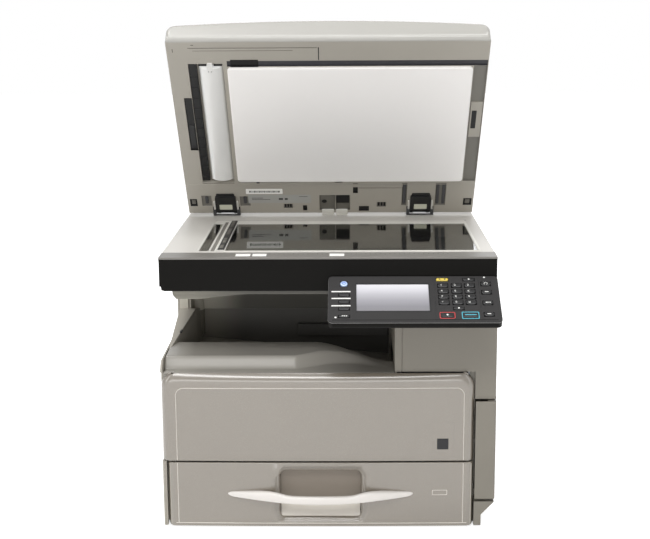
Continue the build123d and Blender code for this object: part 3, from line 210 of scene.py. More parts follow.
def display(name):
    """The display: a pale lavender sheet under a smooth cover, with a painted reflection that is light at the
    top and darkens down its face.
    """
    material = moulded(name, screen(190, 188, 196), 0.16, 0.0, drift=0.0, edge=0.2, coat=0.6)
    tree, shader, place = seat_of(material)
    apart = add_node(tree, "SeparateXYZ", {"Vector": place})
    height = add_range(tree, apart.outputs["Z"], 0.341, 0.371, "From")
    ramp = add_node(tree, "ValToRGB", {"Fac": height})
    stops = ramp.color_ramp.elements
    stops[0].position, stops[0].color = 0.0, screen(128, 126, 130)
    stops[1].position, stops[1].color = 1.0, screen(226, 225, 229)
    for position, tone in ((0.22, 132), (0.42, 154), (0.62, 180), (0.82, 210)):
        stop = stops.new(position)
        stop.color = screen(tone, tone - 1, tone + 5)
    fill(shader, {"Base Color": ramp.outputs["Color"]})
    return material


# Each moulded look: its colour in screen values, its roughness, its grain, and what else differs
MOULDED = {
    "body_plastic": ((166, 161, 150), 0.5, 0.4, {}),
    # The body plastic made darker, as painted shade under the panel's overhang
    "tower_painted_shade_plastic": ((128, 123, 113), 0.5, 0.4, {}),
    "door_plastic": ((125, 117, 105), 0.26, 0.16, {"size": 0.6, "coat": 1.0}),
    # Pale ridges: painted highlights along the rim's edges, and painted light on the recess's sloped floor
    "pale_line_painted_highlight": ((214, 208, 198), 0.3, 0.1, {"coat": 0.3}),
    "tray_plastic": ((162, 158, 150), 0.42, 0.4, {"coat": 0.15}),
    "ledge_plastic": ((58, 56, 52), 0.5, 0.4, {}),
    "scanner_plastic": ((204, 201, 195), 0.45, 0.35, {}),
    # Darker plastic for the back of the finger recess: painted shade
    "recess_painted_shade": ((128, 119, 108), 0.5, 0.3, {}),
    "strip_plastic": ((112, 109, 104), 0.4, 0.35, {}),
    "lid_plastic": ((168, 163, 153), 0.5, 0.35, {}),
    "fascia_plastic": ((170, 168, 162), 0.22, 0.12, {"coat": 0.5}),
    "bezel_plastic": ((15, 14, 12), 0.5, 0.3, {"gloss": 0.08}),
    "handle_plastic": ((226, 221, 216), 0.25, 0.08, {"coat": 0.4}),
    "cassette_plastic": ((120, 119, 115), 0.55, 0.4, {}),
    "dark_plastic": ((42, 42, 43), 0.5, 0.3, {"gloss": 0.3}),
    "black_plastic": ((17, 17, 18), 0.4, 0.2, {"gloss": 0.35}),
    "grey_plastic": ((120, 117, 110), 0.5, 0.35, {}),
    "channel_plastic": ((104, 101, 94), 0.55, 0.35, {}),
    "pale_plastic": ((218, 216, 209), 0.4, 0.2, {}),
    "sticker_paper": ((246, 245, 241), 0.55, 0.05, {"drift": 0.01, "edge": 0.0}),
    "silver_label": ((166, 166, 162), 0.3, 0.05, {"edge": 0.0}),
    "foot_rubber": ((30, 30, 30), 0.8, 0.8, {"gloss": 0.2}),
    "pad_sheet": ((252, 249, 246), 0.5, 0.2, {"size": 1.6, "drift": 0.012, "edge": 0.8}),
    "guide_gloss": ((230, 229, 226), 0.14, 0.03, {"coat": 0.5}),
    "panel_plastic": ((50, 49, 49), 0.5, 0.22, {"gloss": 0.16}),
    "panel_case_plastic": ((20, 19, 17), 0.34, 0.2, {"gloss": 0.1}),
    # The pale line round the panel's edge: a painted highlight
    "panel_edge_painted_highlight": ((118, 117, 115), 0.3, 0.1, {"coat": 0.2}),
    "key_grey": ((25, 25, 26), 0.3, 0.1, {"gloss": 0.35}),
    "key_yellow": ((222, 196, 74), 0.36, 0.1, {"coat": 0.2}),
    "key_blue": ((184, 206, 244), 0.22, 0.03, {"coat": 0.5}),
    "ring_blue": ((98, 132, 205), 0.3, 0.03, {"coat": 0.4}),
    "white_print": ((236, 236, 232), 0.5, 0.0, {"edge": 0.0}),
    "red_print": ((196, 62, 62), 0.5, 0.0, {"edge": 0.0}),
    "teal_print": ((72, 168, 186), 0.45, 0.0, {"edge": 0.0}),
    "dark_print": ((50, 50, 50), 0.5, 0.0, {"edge": 0.0}),
    # The toner bottle's own colour, also laid in the lid's strip pocket above the pad as painted shade
    "toner_plastic": ((52, 52, 56), 0.42, 0.3, {}),
    "drum_coating": ((64, 100, 110), 0.2, 0.02, {"coat": 0.5}),
    "carriage_metal": ((70, 70, 72), 0.45, 0.3, {}),
    "hinge_black": ((20, 20, 21), 0.34, 0.12, {"gloss": 0.45}),
    "hinge_label": ((206, 206, 188), 0.5, 0.05, {"edge": 0.0}),
}
METALS = (("frame_steel", (170, 172, 174), 0.35), ("lift_steel", (182, 184, 186), 0.35),
          ("fuser_metal", (120, 121, 124), 0.42))
# Plastics with painted shade, each deepening across X: the cavity's post and walls, with a deeper foot below
# the hood; the wedge beside the tray; and the scanner case's belly
PAINTED_SHADE_LOOKS = (
    ("cavity_plastic", (196, 191, 178), (84, 82, 76), -0.212, -0.135, ((128, 123, 112), (64, 62, 57))),
    ("side_plastic", (190, 185, 174), (160, 156, 146), -0.236, -0.216),
    ("case_plastic", (134, 131, 120), (76, 74, 68), -0.215, -0.100),
)
looks = {name: moulded(name, screen(*colour), rough, grain, **rest)
         for name, (colour, rough, grain, rest) in MOULDED.items()}
looks.update((row[0], metal(*row)) for row in METALS)
looks.update((row[0], painted_shade_plastic(*row)) for row in PAINTED_SHADE_LOOKS)
looks["platen_glass"] = glazing("platen_glass")
looks["screen_face"] = display("screen_face")
fill(seat_of(looks["door_plastic"])[1], {"Coat IOR": 1.75, "Coat Roughness": 0.18})


# Outlines and curves
def ease(low, high, value):
    """From 0 before low to 1 after high, with soft ends."""
    share = max(0.0, min(1.0, (value - low) / (high - low)))
    return share * share * (3 - 2 * share)


def spread(low, high, parts):
    """Evenly spaced places from low to high, both included."""
    return [low + (high - low) * step / parts for step in range(parts + 1)]


def circle(x, y, radius, sides):
    """Points round a circle."""
    turns = [2 * math.pi * side / sides for side in range(sides)]
    return [(x + radius * math.cos(turn), y + radius * math.sin(turn)) for turn in turns]


def box_outline(x, y):
    """The four corners of a rectangle between two X and two Y values."""
    return [(x[0], y[0]), (x[1], y[0]), (x[1], y[1]), (x[0], y[1])]


def round_outline(x, y, radius, steps=6):
    """The outline of a rectangle with rounded corners."""
    points = []
    corners = ((x[0], y[0], 180), (x[1], y[0], 270), (x[1], y[1], 0), (x[0], y[1], 90))
    for corner_x, corner_y, start in corners:
        centre_x = corner_x + (radius if corner_x == x[0] else -radius)
        centre_y = corner_y + (radius if corner_y == y[0] else -radius)
        for step in range(steps + 1):
            angle = math.radians(start + 90 * step / steps)
            points.append((centre_x + radius * math.cos(angle), centre_y + radius * math.sin(angle)))
    return points


def border_of(grid):
    """The points along the border of a grid of points, in order."""
    return grid[0][::-1] + [row[0] for row in grid[1:]] + grid[-1][1:] + [row[-1] for row in grid[-2:0:-1]]


# Mesh helpers. A lift bends what is drawn to a surface.
def add_points(bm, outline, height, lift=None):
    """Add the points of an outline at a height."""
    return [bm.verts.new((x, y, height + (lift(x, y) if lift else 0.0))) for x, y in outline]


def add_face(bm, points, material=0):
    """Add a face with its material."""
    face = bm.faces.new(points)
    face.material_index = material
    return face


def add_band(bm, near, far, material=0):
    """Join two loops of points by a band of faces."""
    for at in range(len(near)):
        following = (at + 1) % len(near)
        add_face(bm, (near[at], near[following], far[following], far[at]), material)


def add_slab(bm, outline, low, high, edge=0.0, material=0, lift=None):
    """Add a prism on an outline between two heights, its top edge rounded."""
    bottom = add_points(bm, outline, low, lift)
    top = add_points(bm, outline, high, lift)
    cover = add_face(bm, top, material)
    add_face(bm, bottom[::-1], material)
    add_band(bm, bottom, top, material)
    if edge:
        made = bmesh.ops.bevel(bm, geom=list(cover.edges), offset=edge, segments=3, profile=0.5,
                               affect="EDGES", clamp_overlap=True)
        for face in made["faces"]:
            face.material_index = material


def add_block(bm, x, y, z, edge=0.0, material=0):
    """Add a block between two X, two Y and two Z values, its top edge rounded."""
    add_slab(bm, box_outline(x, y), z[0], z[1], edge, material)


def add_blocks(bm, *blocks):
    """Add blocks, each given by its X, Y and Z values, its edge's rounding and its material."""
    for block in blocks:
        add_block(bm, *block)


def add_ring(bm, outer, inner, low, high, material=0, lift=None):
    """Add a flat ring between two outlines with as many points as each other."""
    loops = [add_points(bm, outline, height, lift)
             for outline, height in ((outer, low), (outer, high), (inner, high), (inner, low))]
    for near, far in zip(loops, loops[1:] + loops[:1]):
        add_band(bm, near, far, material)


def add_path(bm, points, half_width, low, high, material=0, lift=None):
    """Add a low ridge along a line of points, with its top narrower than its foot."""
    rows = []
    for at, (x, y) in enumerate(points):
        before = points[max(at - 1, 0)]
        after = points[min(at + 1, len(points) - 1)]
        run = Vector((after[0] - before[0], after[1] - before[1])).normalized()
        row = []
        for share, height in ((-1, low), (-0.45, high), (0.45, high), (1, low)):
            place = (x - run.y * half_width * share, y + run.x * half_width * share)
            row += add_points(bm, [place], height, lift)
        rows.append(row)
    for near, far in zip(rows, rows[1:]):
        for at, following in ((0, 1), (1, 2), (2, 3), (3, 0)):
            add_face(bm, (near[at], far[at], far[following], near[following]), material)
    for row in (rows[0], rows[-1][::-1]):
        add_face(bm, row, material)


def add_loft(bm, rows, material=0, capped=True):
    """Add a skin through rows of points, each row a closed loop."""
    loops = [[bm.verts.new(point) for point in row] for row in rows]
    for near, far in zip(loops, loops[1:]):
        add_band(bm, near, far, material)
    if capped:
        add_face(bm, loops[0][::-1], material)
        add_face(bm, loops[-1], material)


def add_lathe(bm, centre, profile, sides=28, material=0):
    """Add a turned form round the space's Z axis: profile is radius and height pairs."""
    add_loft(bm, [[(x, y, height) for x, y in circle(*centre, radius, sides)] for radius, height in profile],
             material)


def add_rod(bm, ends, y, z, radius, sides):
    """Add a round rod along X between two places."""
    add_loft(bm, [[(x, a, b) for a, b in circle(y, z, radius, sides)] for x in ends])


def add_words(bm, words, size, x, y, z, material=0):
    """Add a numeral as a thin raised print centred at a place."""
    curve = bpy.data.curves.new("numeral", "FONT")
    curve.body = words
    curve.size = size
    curve.align_x = "CENTER"
    curve.align_y = "CENTER"
    curve.resolution_u = 3
    carrier = new_object("numeral", curve)
    mesh = bpy.data.meshes.new_from_object(carrier.evaluated_get(bpy.context.evaluated_depsgraph_get()))
    bpy.data.objects.remove(carrier)
    mesh.transform(Matrix.Translation((x, y, z)))
    old = set(bm.faces)
    bm.from_mesh(mesh)
    for face in set(bm.faces) - old:
        face.material_index = material
    bpy.data.meshes.remove(mesh)


# Pieces
def settle(mesh):
    """Shade a mesh smooth, but for its sharp edges."""
    mesh.shade_smooth()
    mesh.set_sharp_from_angle(angle=SMOOTH)


def new_object(name, data):
    """A new object in the scene."""
    carrier = bpy.data.objects.new(name, data)
    bpy.context.scene.collection.objects.link(carrier)
    return carrier


def mesh_of(bm, name, place):
    """Turn a drawing in a space into a mesh."""
    bmesh.ops.recalc_face_normals(bm, faces=bm.faces)
    mesh = bpy.data.meshes.new(name)
    bm.transform(place)
    bm.to_mesh(mesh)
    bm.free()
    return mesh


def finish_piece(bm, name, place, body, materials, replaces=()):
    """Turn a drawing into a piece that rides on a body."""
    mesh = mesh_of(bm, name, place)
    settle(mesh)
    piece = new_object(name, mesh)
    piece.modifiers.new("flat_faces", "WEIGHTED_NORMAL").keep_sharp = True
    for material in materials:
        mesh.materials.append(looks[material])
    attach(piece, body)
    if replaces:
        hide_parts(*replaces)
    return piece


def own_copy(node, place):
    """A bmesh of a CAD node's own form, in a space's millimetres, with its flat faces joined up."""
    bm = bmesh.new()
    bm.from_mesh(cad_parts[node].data)
    bm.transform(place.inverted())
    bmesh.ops.remove_doubles(bm, verts=bm.verts, dist=0.002)
    bmesh.ops.dissolve_limit(bm, angle_limit=math.radians(0.2), verts=bm.verts, edges=bm.edges)
    for face in bm.faces:
        face.material_index = 0
    return bm


def carve_with(piece, bm, place):
    """Cut the closed forms of a drawing out of a piece."""
    tool = new_object("cutter", mesh_of(bm, "cutter", place))
    cut = piece.modifiers.new("pockets", "BOOLEAN")
    cut.operation = "DIFFERENCE"
    cut.solver = "EXACT"
    cut.use_self = True
    cut.object = tool
    graph = bpy.context.evaluated_depsgraph_get()
    result = bpy.data.meshes.new_from_object(piece.evaluated_get(graph))
    piece.modifiers.remove(cut)
    bpy.data.objects.remove(tool)
    old = piece.data
    result.name = old.name
    piece.data = result
    settle(result)
    bpy.data.meshes.remove(old)


def carve_block(piece, x, y, z):
    """Cut a block out of a piece of the casing."""
    bm = bmesh.new()
    add_block(bm, x, y, z)
    carve_with(piece, bm, machine)


def open_front(piece, bm, place):
    """Cut an opening through an open shell with the closed form of a drawing."""
    carve_with(piece, bm, place)
    bounds = bmesh.new()
    bounds.from_mesh(piece.data)
    bounds.transform(place.inverted())
    inner = []
    for face in bounds.faces:
        centre = face.calc_center_median()
        core_x = min(max(centre.x, RECESS_X[0] + RECESS_CORNER), RECESS_X[1] - RECESS_CORNER)
        core_z = min(max(centre.y, RECESS_Z[0] + RECESS_CORNER), RECESS_Z[1] - RECESS_CORNER)
        if math.hypot(centre.x - core_x, centre.y - core_z) < RECESS_CORNER + SOFT + 0.02:
            inner.append(face)
    bmesh.ops.delete(bounds, geom=inner, context="FACES")
    bounds.transform(place)
    bounds.to_mesh(piece.data)
    bounds.free()


def carve(piece, cutters, place):
    """Cut pockets into a piece. Each cutter is X, Y and Z ranges in a space and a material index."""
    bm = bmesh.new()
    for x, y, z, _ in cutters:
        add_block(bm, x, y, z)
    carve_with(piece, bm, place)
    inward = place.inverted()
    for face in piece.data.polygons:
        centre = inward @ face.center
        for x, y, z, material in cutters:
            if (x[0] - 0.05 < centre.x < x[1] + 0.05 and y[0] - 0.05 < centre.y < y[1] + 0.05
                    and z[0] - 0.05 < centre.z < -0.02):
                face.material_index = material


def paint(look, *nodes):
    """Give CAD nodes that stay in view their material."""
    for node in nodes:
        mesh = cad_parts[node].data
        mesh.materials.clear()
        mesh.materials.append(looks[look])


# Front door: the moulded rim line, its pale colour a painted highlight along the rim's edge, and a plain
# clear label with a dark square
FRONT_MIDDLE = (FRONT_LEFT + FRONT_RIGHT) / 2
CROWN = 2.5
CROWN_HALF = (FRONT_RIGHT - FRONT_LEFT) / 2 - 12
DOOR_BOTTOM, DOOR_TOP = 103.5, 235.0
RIM_LEFT, RIM_RIGHT = -221, 196


def crown(x, y):
    """How far the bowed front stands out at a place across it."""
    return CROWN * max(0.0, 1 - ((x - FRONT_MIDDLE) / CROWN_HALF) ** 2)


def rim_line(left, right, bottom, top, radius):
    """The line of a rim: up the left side, across the top and down the right side."""
    points = [(left, z) for z in spread(bottom, top - radius, 12)]
    for start, middle in ((180, left + radius), (90, right - radius)):
        for step in range(1, 9):
            angle = math.radians(start - 90 * step / 8)
            points.append((middle + radius * math.cos(angle), top - radius + radius * math.sin(angle)))
        if start == 180:
            points += [(x, top) for x in spread(left + radius, right - radius, 40)[1:]]
    return points + [(right, z) for z in spread(top - radius, bottom, 12)[1:]]


bm = bmesh.new()
add_path(bm, rim_line(RIM_LEFT, RIM_RIGHT, DOOR_BOTTOM + 1.5, 214, 11), 0.75, -0.4, 0.42, lift=crown)
finish_piece(bm, "door_rim", front, "door", ["pale_line_painted_highlight"])
bm = bmesh.new()
add_slab(bm, round_outline((151, 182), (117, 163), 2), -0.4, 0.12, lift=crown)
add_slab(bm, round_outline((157.5, 174), (121.5, 138), 0.8), 0.02, 0.22, material=1, lift=crown)
finish_piece(bm, "door_label", front, "door", ["door_plastic", "dark_plastic"])

# The door and the cassette front: bowed shells with rolled sides, the door's top rolled back too
SHELL = 2.6
ROLL = 12.0
SIDE_DROP = 12.0
TOP_DROP = 4.4
LIP = 1.6
SKIRT = 13.8
EDGE_STEPS = (0, 0.12, 0.5, 1.1, 2.0, 3.1, 4.5, 6.1, 8.0, 10.0, 12.0, 15.0)
TOP_STEPS = (18, 15, 12, 10, 8, 6.1, 4.5, 3.1, 2.0, 1.1, 0.5, 0.12, 0)
LIP_STEPS = (0, 0.25, 0.8, LIP)


def rolled(distance, radius):
    """How far a quarter-round edge has fallen back at a distance from its rim, from 1 to 0."""
    share = max(0.0, min(1.0, distance / radius))
    return 1 - math.sqrt(1 - (1 - share) ** 2)


def front_shell(name, body, left, low_z, high_z, corner, top_rolled, replaces):
    """A bowed shell from its left edge. Its rounded corners are at the top, or at the bottom instead."""
    def place_of(x, z):
        """The distance inside the rounded outline, and from 0 beside it to 1 above it."""
        corner_x = min(max(x, left + corner), FRONT_RIGHT - corner)
        corner_z = min(z, high_z - corner) if top_rolled else max(z, low_z + corner)
        away = math.hypot(x - corner_x, z - corner_z)
        if away and abs(x - corner_x) and abs(z - corner_z):
            turn = math.atan2(abs(z - corner_z), abs(x - corner_x)) / (math.pi / 2)
            return corner - away, turn
        side = min(x - left, FRONT_RIGHT - x)
        above = high_z - z if top_rolled else side
        return (side, 0.0) if side <= above else (above, 1.0)

    def depth_of(x, z):
        """How far out the shell's face lies at a place."""
        inset, turn = place_of(x, z)
        ends = crown(x, z)
        drop = SIDE_DROP
        small = LIP * rolled(z - low_z, LIP)
        if top_rolled:
            drop += (TOP_DROP - SIDE_DROP) * ease(0, 1, turn)
        else:
            inset = min(x - left, FRONT_RIGHT - x)
            small = LIP * (rolled(z - low_z, LIP) + rolled(high_z - z, LIP))
        share = max(0.0, 1 - inset / ROLL)
        fall = rolled(inset, ROLL)
        if top_rolled:
            fall += (share ** 2 - fall) * ease(0.3, 1, turn)
        return ends - (ends + drop) * fall - small

    if top_rolled:
        heights = [low_z + step for step in LIP_STEPS]
        heights += [low_z + LIP + (high_z - 20 - low_z) * step / 8 for step in range(1, 8)]
        heights += [high_z - step for step in TOP_STEPS]
    else:
        heights = [low_z + step for step in LIP_STEPS + (2.4, 3.4, 4.6, 6.0)]
        heights += [low_z + 6 + (high_z - 7.6 - low_z) * step / 6 for step in range(1, 6)]
        heights += [high_z - step for step in LIP_STEPS[::-1]]
    bm = bmesh.new()
    grid = []
    for z in heights:
        beyond = max(0.0, z - (high_z - corner) if top_rolled else low_z + corner - z)
        cut = corner - math.sqrt(max(0.0, corner ** 2 - beyond ** 2))
        low_x, high_x = left + cut, FRONT_RIGHT - cut
        stations = [low_x + step for step in EDGE_STEPS]
        stations += spread(low_x + EDGE_STEPS[-1], high_x - EDGE_STEPS[-1], 40)[1:-1]
        stations += [high_x - step for step in EDGE_STEPS[::-1]]
        grid.append([bm.verts.new((x, z, depth_of(x, z))) for x in stations])
    for near, far in zip(grid, grid[1:]):
        for at in range(len(near) - 1):
            add_face(bm, (near[at], near[at + 1], far[at + 1], far[at]))
    border = border_of(grid)
    skirt = []
    for vertex in border:
        x, z, depth = vertex.co
        foot = -SKIRT
        if top_rolled and z == low_z:
            foot = min(depth - 0.3, -3.0)
        elif top_rolled and place_of(x, z)[1] > 0.6 and z > low_z + 9:
            foot = -TOP_DROP - 0.2
        skirt.append(bm.verts.new((x, z, foot)))
    add_band(bm, border, skirt)
    return finish_piece(bm, name, front, body, ["door_plastic", "recess_painted_shade"], [replaces])


def add_wall(piece):
    """Give a shell its wall thickness."""
    piece.modifiers.clear()
    wall = piece.modifiers.new("wall", "SOLIDIFY")
    wall.thickness = SHELL * MM
    wall.offset = -1


add_wall(front_shell("door_shell", "door", -242.8, DOOR_BOTTOM, DOOR_TOP, 21.0, True, "front_door"))
bm = bmesh.new()
for x in range(-200, 151, 50):
    add_slab(bm, box_outline((x, x + 1.6), (DOOR_BOTTOM + 3, 188)), -5.2, 0.2,
             lift=lambda a, b: crown(a, b) - 2.8)
for z in (128, 158, 186):
    add_block(bm, (-222, 198), (z, z + 1.6), (-4.2, -2.2))
for ear in (-214.0, 186.9):
    add_slab(bm, round_outline((ear - 2.8, ear - 0.4), (106.8, 117.8), 1), -13.8, -2.4)
    add_rod(bm, (ear - 0.4, ear + 2.8), 112.2, -6.2, 1.5, 16)
finish_piece(bm, "door_ribs", front, "door", ["body_plastic"])

# Cassette front: rim lines and the paper size window, their pale colour a painted highlight along the moulded
# edges, and a sloped floor in the finger recess, pale as painted light on its upward face
bm = bmesh.new()
for line_x in (RIM_LEFT, RIM_RIGHT):
    add_path(bm, [(line_x, z) for z in spread(9, 100, 6)], 0.8, -0.4, 0.32, lift=crown)
add_path(bm, [(x, 8.2) for x in spread(-225, 202, 40)], 0.9, -0.4, 0.3, lift=crown)
add_ring(bm, round_outline((151, 173), (51.5, 59.5), 1), round_outline((152, 172), (52.5, 58.5), 0.6),
         -0.4, 0.3, lift=crown)
finish_piece(bm, "cassette_lines", front, "drawer", ["pale_line_painted_highlight"])
bm = bmesh.new()
profile = ((17.6, -11.0), (17.6, -2.2), (19.4, -1.2), (34.0, -9.5), (38.0, -10.9))
add_loft(bm, [[(x, z, depth) for z, depth in profile] for x in (-70.2, 46.2)])
# The ramp is pale as painted light on its upward face
finish_piece(bm, "recess_ramp", front, "drawer", ["pale_line_painted_highlight"])
RECESS_X, RECESS_Z, RECESS_CORNER = (-71.0, 47.0), (17.3, 88.4), 9.0
SOFT = 4.6


def recess_outline(grow):
    """The outline of the finger recess, grown by a length."""
    return round_outline((RECESS_X[0] - grow, RECESS_X[1] + grow), (RECESS_Z[0] - grow, RECESS_Z[1] + grow),
                         RECESS_CORNER + grow, 10)


cassette_shell = front_shell("cassette_shell", "drawer", FRONT_LEFT, 3.0, 101.5, 6.0, False, "cassette_front")
bm = bmesh.new()
add_slab(bm, recess_outline(SOFT), -7, 9)
open_front(cassette_shell, bm, front)
add_wall(cassette_shell)
bm = bmesh.new()
rows = []
for step in range(9):
    angle = math.pi / 2 * step / 8
    drop = SOFT * (1 - math.cos(angle))
    outline = recess_outline(SOFT * (1 - math.sin(angle)))
    rows.append([(x, z, crown(x, z) * (1 - step / 8) - drop) for x, z in outline])
outline = recess_outline(0)
rows.append([(x, z, -10.6) for x, z in outline])
add_loft(bm, rows, capped=False)
# The back plate takes the darker plastic, painted shade at the back of the recess
add_slab(bm, outline, -12.5, -10.5, material=1)
finish_piece(bm, "recess_lining", front, "drawer", ["door_plastic", "recess_painted_shade"])
bm = bmesh.new()
for x in (FRONT_LEFT + 3, RECESS_X[0] - 8, RECESS_X[1] + 6, FRONT_RIGHT - 5):
    add_block(bm, (x, x + 2), (5.6, 99), (-13.8, -2.6))
finish_piece(bm, "cassette_ribs", front, "drawer", ["body_plastic"])
paint("cassette_plastic", "cassette")
paint("lift_steel", "lift_plate")

# Cassette handle: a bowed bar with rounded sides, drawn as stations across the front
HANDLE_LEFT, HANDLE_RIGHT = -148.0, 123.3
HANDLE_MIDDLE = (HANDLE_LEFT + HANDLE_RIGHT) / 2
HANDLE_HALF = (HANDLE_RIGHT - HANDLE_LEFT) / 2
HANDLE_TOP, HANDLE_DIP = 60.8, 55.0
HANDLE_FOOT, HANDLE_SAG = 51.0, 8.0
HANDLE_DEPTH = 9.0
END_BOW, ADDED_BOW = 3.2, 18.6
BLUNT_FROM = 0.93
ROUNDING = 0.62
bm = bmesh.new()
rows = []
for station in range(73):
    share = -math.cos(math.pi * station / 72)
    x = HANDLE_MIDDLE + (HANDLE_HALF - 0.2) * share
    away = abs(share)
    ending = max(0.0, (away - BLUNT_FROM) / (1 - BLUNT_FROM))
    blunt = math.sqrt(max(0.0, 1 - ending ** 2)) * 0.94 + 0.06
    inward = 1 - away ** 2
    bow = END_BOW + ADDED_BOW * inward
    bottom = HANDLE_FOOT - HANDLE_SAG * inward
    shoulder = HANDLE_TOP - 3.6 * max(0.0, (away - 0.45) / 0.55) ** 1.4
    step_down = 1 / (1 + math.exp((away - 0.415) * 26))
    top = shoulder + (HANDLE_DIP - HANDLE_TOP) * step_down
    blend = ease(0.45, 0.70, away)
    rear = (bow - HANDLE_DEPTH) * (1 - blend) + min(1.2, bow - 1.2) * blend - 1.4 * ease(0.6, 0.9, away)
    middle_z, half_z = (top + bottom) / 2, (top - bottom) / 2 * blunt
    front_d = rear + (bow - rear) * (0.35 + 0.65 * blunt)
    middle_d, half_d = (front_d + rear) / 2, (front_d - rear) / 2
    row = []
    for turn in range(24):
        angle = 2 * math.pi * turn / 24
        c, t = math.cos(angle), math.sin(angle)
        row.append((x, middle_z + half_z * math.copysign(abs(t) ** ROUNDING, t),
                    middle_d + half_d * math.copysign(abs(c) ** ROUNDING, c)))
    rows.append(row)
add_loft(bm, rows)
finish_piece(bm, "handle_bar", front, "drawer", ["handle_plastic"], ["cassette_handle"])

# Output tray: one smooth skin with its lip, plateau, scoop and falling floor
TRAY_LEFT, TRAY_RIGHT = -239.7, 95.7
TRAY_FRONT, TRAY_BACK = 5.0, 279.7
TRAY_EDGE = 3.0
NOTCH_X, NOTCH_Y = -222.0, 14.5
LIP_HEIGHT, PLATEAU_HEIGHT, PLATEAU_FALL = 235, 252, 17
FLOOR_HEIGHT, FLOOR_FALL = 222, 32


def bulge(x, left, right, rise):
    """A soft arc between two places, zero outside them."""
    if not left < x < right:
        return 0.0
    share = (x - left) / (right - left)
    return rise * math.sin(math.pi * share) ** 1.25


def tray_height(x, y):
    """The height of the output tray's top at a place on it."""
    lip = 25 + bulge(x, -48, 92, 29)
    plateau = 41 + bulge(x, -50, 98, 40)
    crest = 118 - 45 * ease(-30, 98, x) - 6 * ease(40, 98, x)
    plateau = min(plateau, crest - 3)
    high = PLATEAU_HEIGHT - PLATEAU_FALL * ease(-20, 96, x)
    floor = FLOOR_HEIGHT - FLOOR_FALL * (x - TRAY_LEFT) / (TRAY_RIGHT - TRAY_LEFT)
    front_part = LIP_HEIGHT + (high - LIP_HEIGHT) * ease(lip, plateau, y)
    return front_part + (floor - front_part) * ease(crest, crest + 13, y)


def tray_grid():
    """Where the tray's skin has its rows and columns: closer together over its curves."""
    columns = [TRAY_LEFT, TRAY_LEFT + 0.6, TRAY_LEFT + 1.6, NOTCH_X - 0.05, NOTCH_X + 0.05, TRAY_RIGHT]
    columns += [TRAY_LEFT + 3 + 183 * step / 30 for step in range(31)] + spread(-50, 95, 72)
    rows = [TRAY_FRONT, TRAY_FRONT + 0.5, TRAY_FRONT + 1.4, TRAY_FRONT + 3, NOTCH_Y, NOTCH_Y + 1]
    rows += [TRAY_FRONT + 5 + step * 1.7 for step in range(78)] + spread(145, TRAY_BACK, 24)
    return sorted(set(columns)), sorted(set(rows))


columns, depths = tray_grid()
bm = bmesh.new()
grid = []
for x in columns:
    line = []
    beside_post = x < NOTCH_X
    for y in depths:
        if beside_post:
            y = max(y, NOTCH_Y)
        drop = 0.0
        for gap in (y - (NOTCH_Y if beside_post else TRAY_FRONT), x - TRAY_LEFT):
            if gap < TRAY_EDGE:
                drop = max(drop, TRAY_EDGE - math.sqrt(max(0.0, TRAY_EDGE ** 2 - (TRAY_EDGE - gap) ** 2)))
        line.append(bm.verts.new((x, y, tray_height(x, y) - drop)))
    grid.append(line)
for near, far in zip(grid, grid[1:]):
    for at in range(len(depths) - 1):
        add_face(bm, (near[at], far[at], far[at + 1], near[at + 1]))
loops = [border_of(grid)]
for drop_to, tuck in ((231.0, 0.0), (230.6, 0.4), (184.2, 0.4)):
    loop = []
    for vertex in loops[0]:
        x, y, z = vertex.co
        loop.append(bm.verts.new((x, y + (tuck if y < 20 else 0.0), min(z - 0.4, drop_to))))
    loops.append(loop)
for near, far in zip(loops, loops[1:]):
    add_band(bm, near, far)
bmesh.ops.remove_doubles(bm, verts=bm.verts, dist=0.02)
finish_piece(bm, "tray_skin", machine, "chassis", ["tray_plastic"], ["output_tray"])

# Cavity: the sloped upper wall, the exit's ledge, the wedge at its left, and a black block as painted shade
# for the notch at the post's foot
# The post and the cavity's walls take the plastic with painted shade: pale at the post, darker towards the
# right and below the hood's foot
paint("cavity_plastic", "scanner_support")
HOOD_LEFT, HOOD_RIGHT, HOOD_TURN = -221.4, 95.0, 26
HOOD_BACK, HOOD_REACH = 279.8, 17
HOOD_FOOT, HOOD_TOP = 267.0, 350.5
bm = bmesh.new()
rows = []
for step in range(25):
    x = HOOD_LEFT + HOOD_TURN * step / 23 if step < 24 else HOOD_RIGHT
    near = HOOD_REACH * rolled(x - HOOD_LEFT, HOOD_TURN)
    rows.append([(x, HOOD_BACK, HOOD_FOOT), (x, HOOD_BACK - 0.6 - near, HOOD_FOOT + 0.6),
                 (x, HOOD_BACK - 17.8 - near, HOOD_TOP), (x, HOOD_BACK, HOOD_TOP)])
add_loft(bm, rows)
finish_piece(bm, "cavity_hood", machine, "chassis", ["cavity_plastic"])
bm = bmesh.new()
add_slab(bm, round_outline((-53, 95), (266, 279.8), 2), 224, 243, edge=1.2)
finish_piece(bm, "exit_ledge", machine, "chassis", ["ledge_plastic"])
bm = bmesh.new()


def wedge_row(outer, y, inner, top):
    """A section of the wedge beside the tray."""
    return [(outer, y, 205), (outer, y, top), (inner, y, top), (inner + 2.5, y, 205)]


add_loft(bm, [wedge_row(-239.6, 76 + 144.8 * step / 12, -239.0 + 25.0 * step / 12, 249.5 + 31.3 * step / 12)
              for step in range(13)])
add_loft(bm, [wedge_row(-221.9, 220.8, -214.0, 280.8), wedge_row(-221.9, 279.4, -212.0, 267.0)])
# The wedge takes the plastic with painted shade, darker towards its inner side
finish_piece(bm, "tray_side", machine, "chassis", ["side_plastic"])


def block_piece(name, place, body, slot, materials, *blocks):
    """Finish a piece that is made of blocks."""
    bm = bmesh.new()
    add_blocks(bm, *blocks)
    return finish_piece(bm, name, place, body, materials)


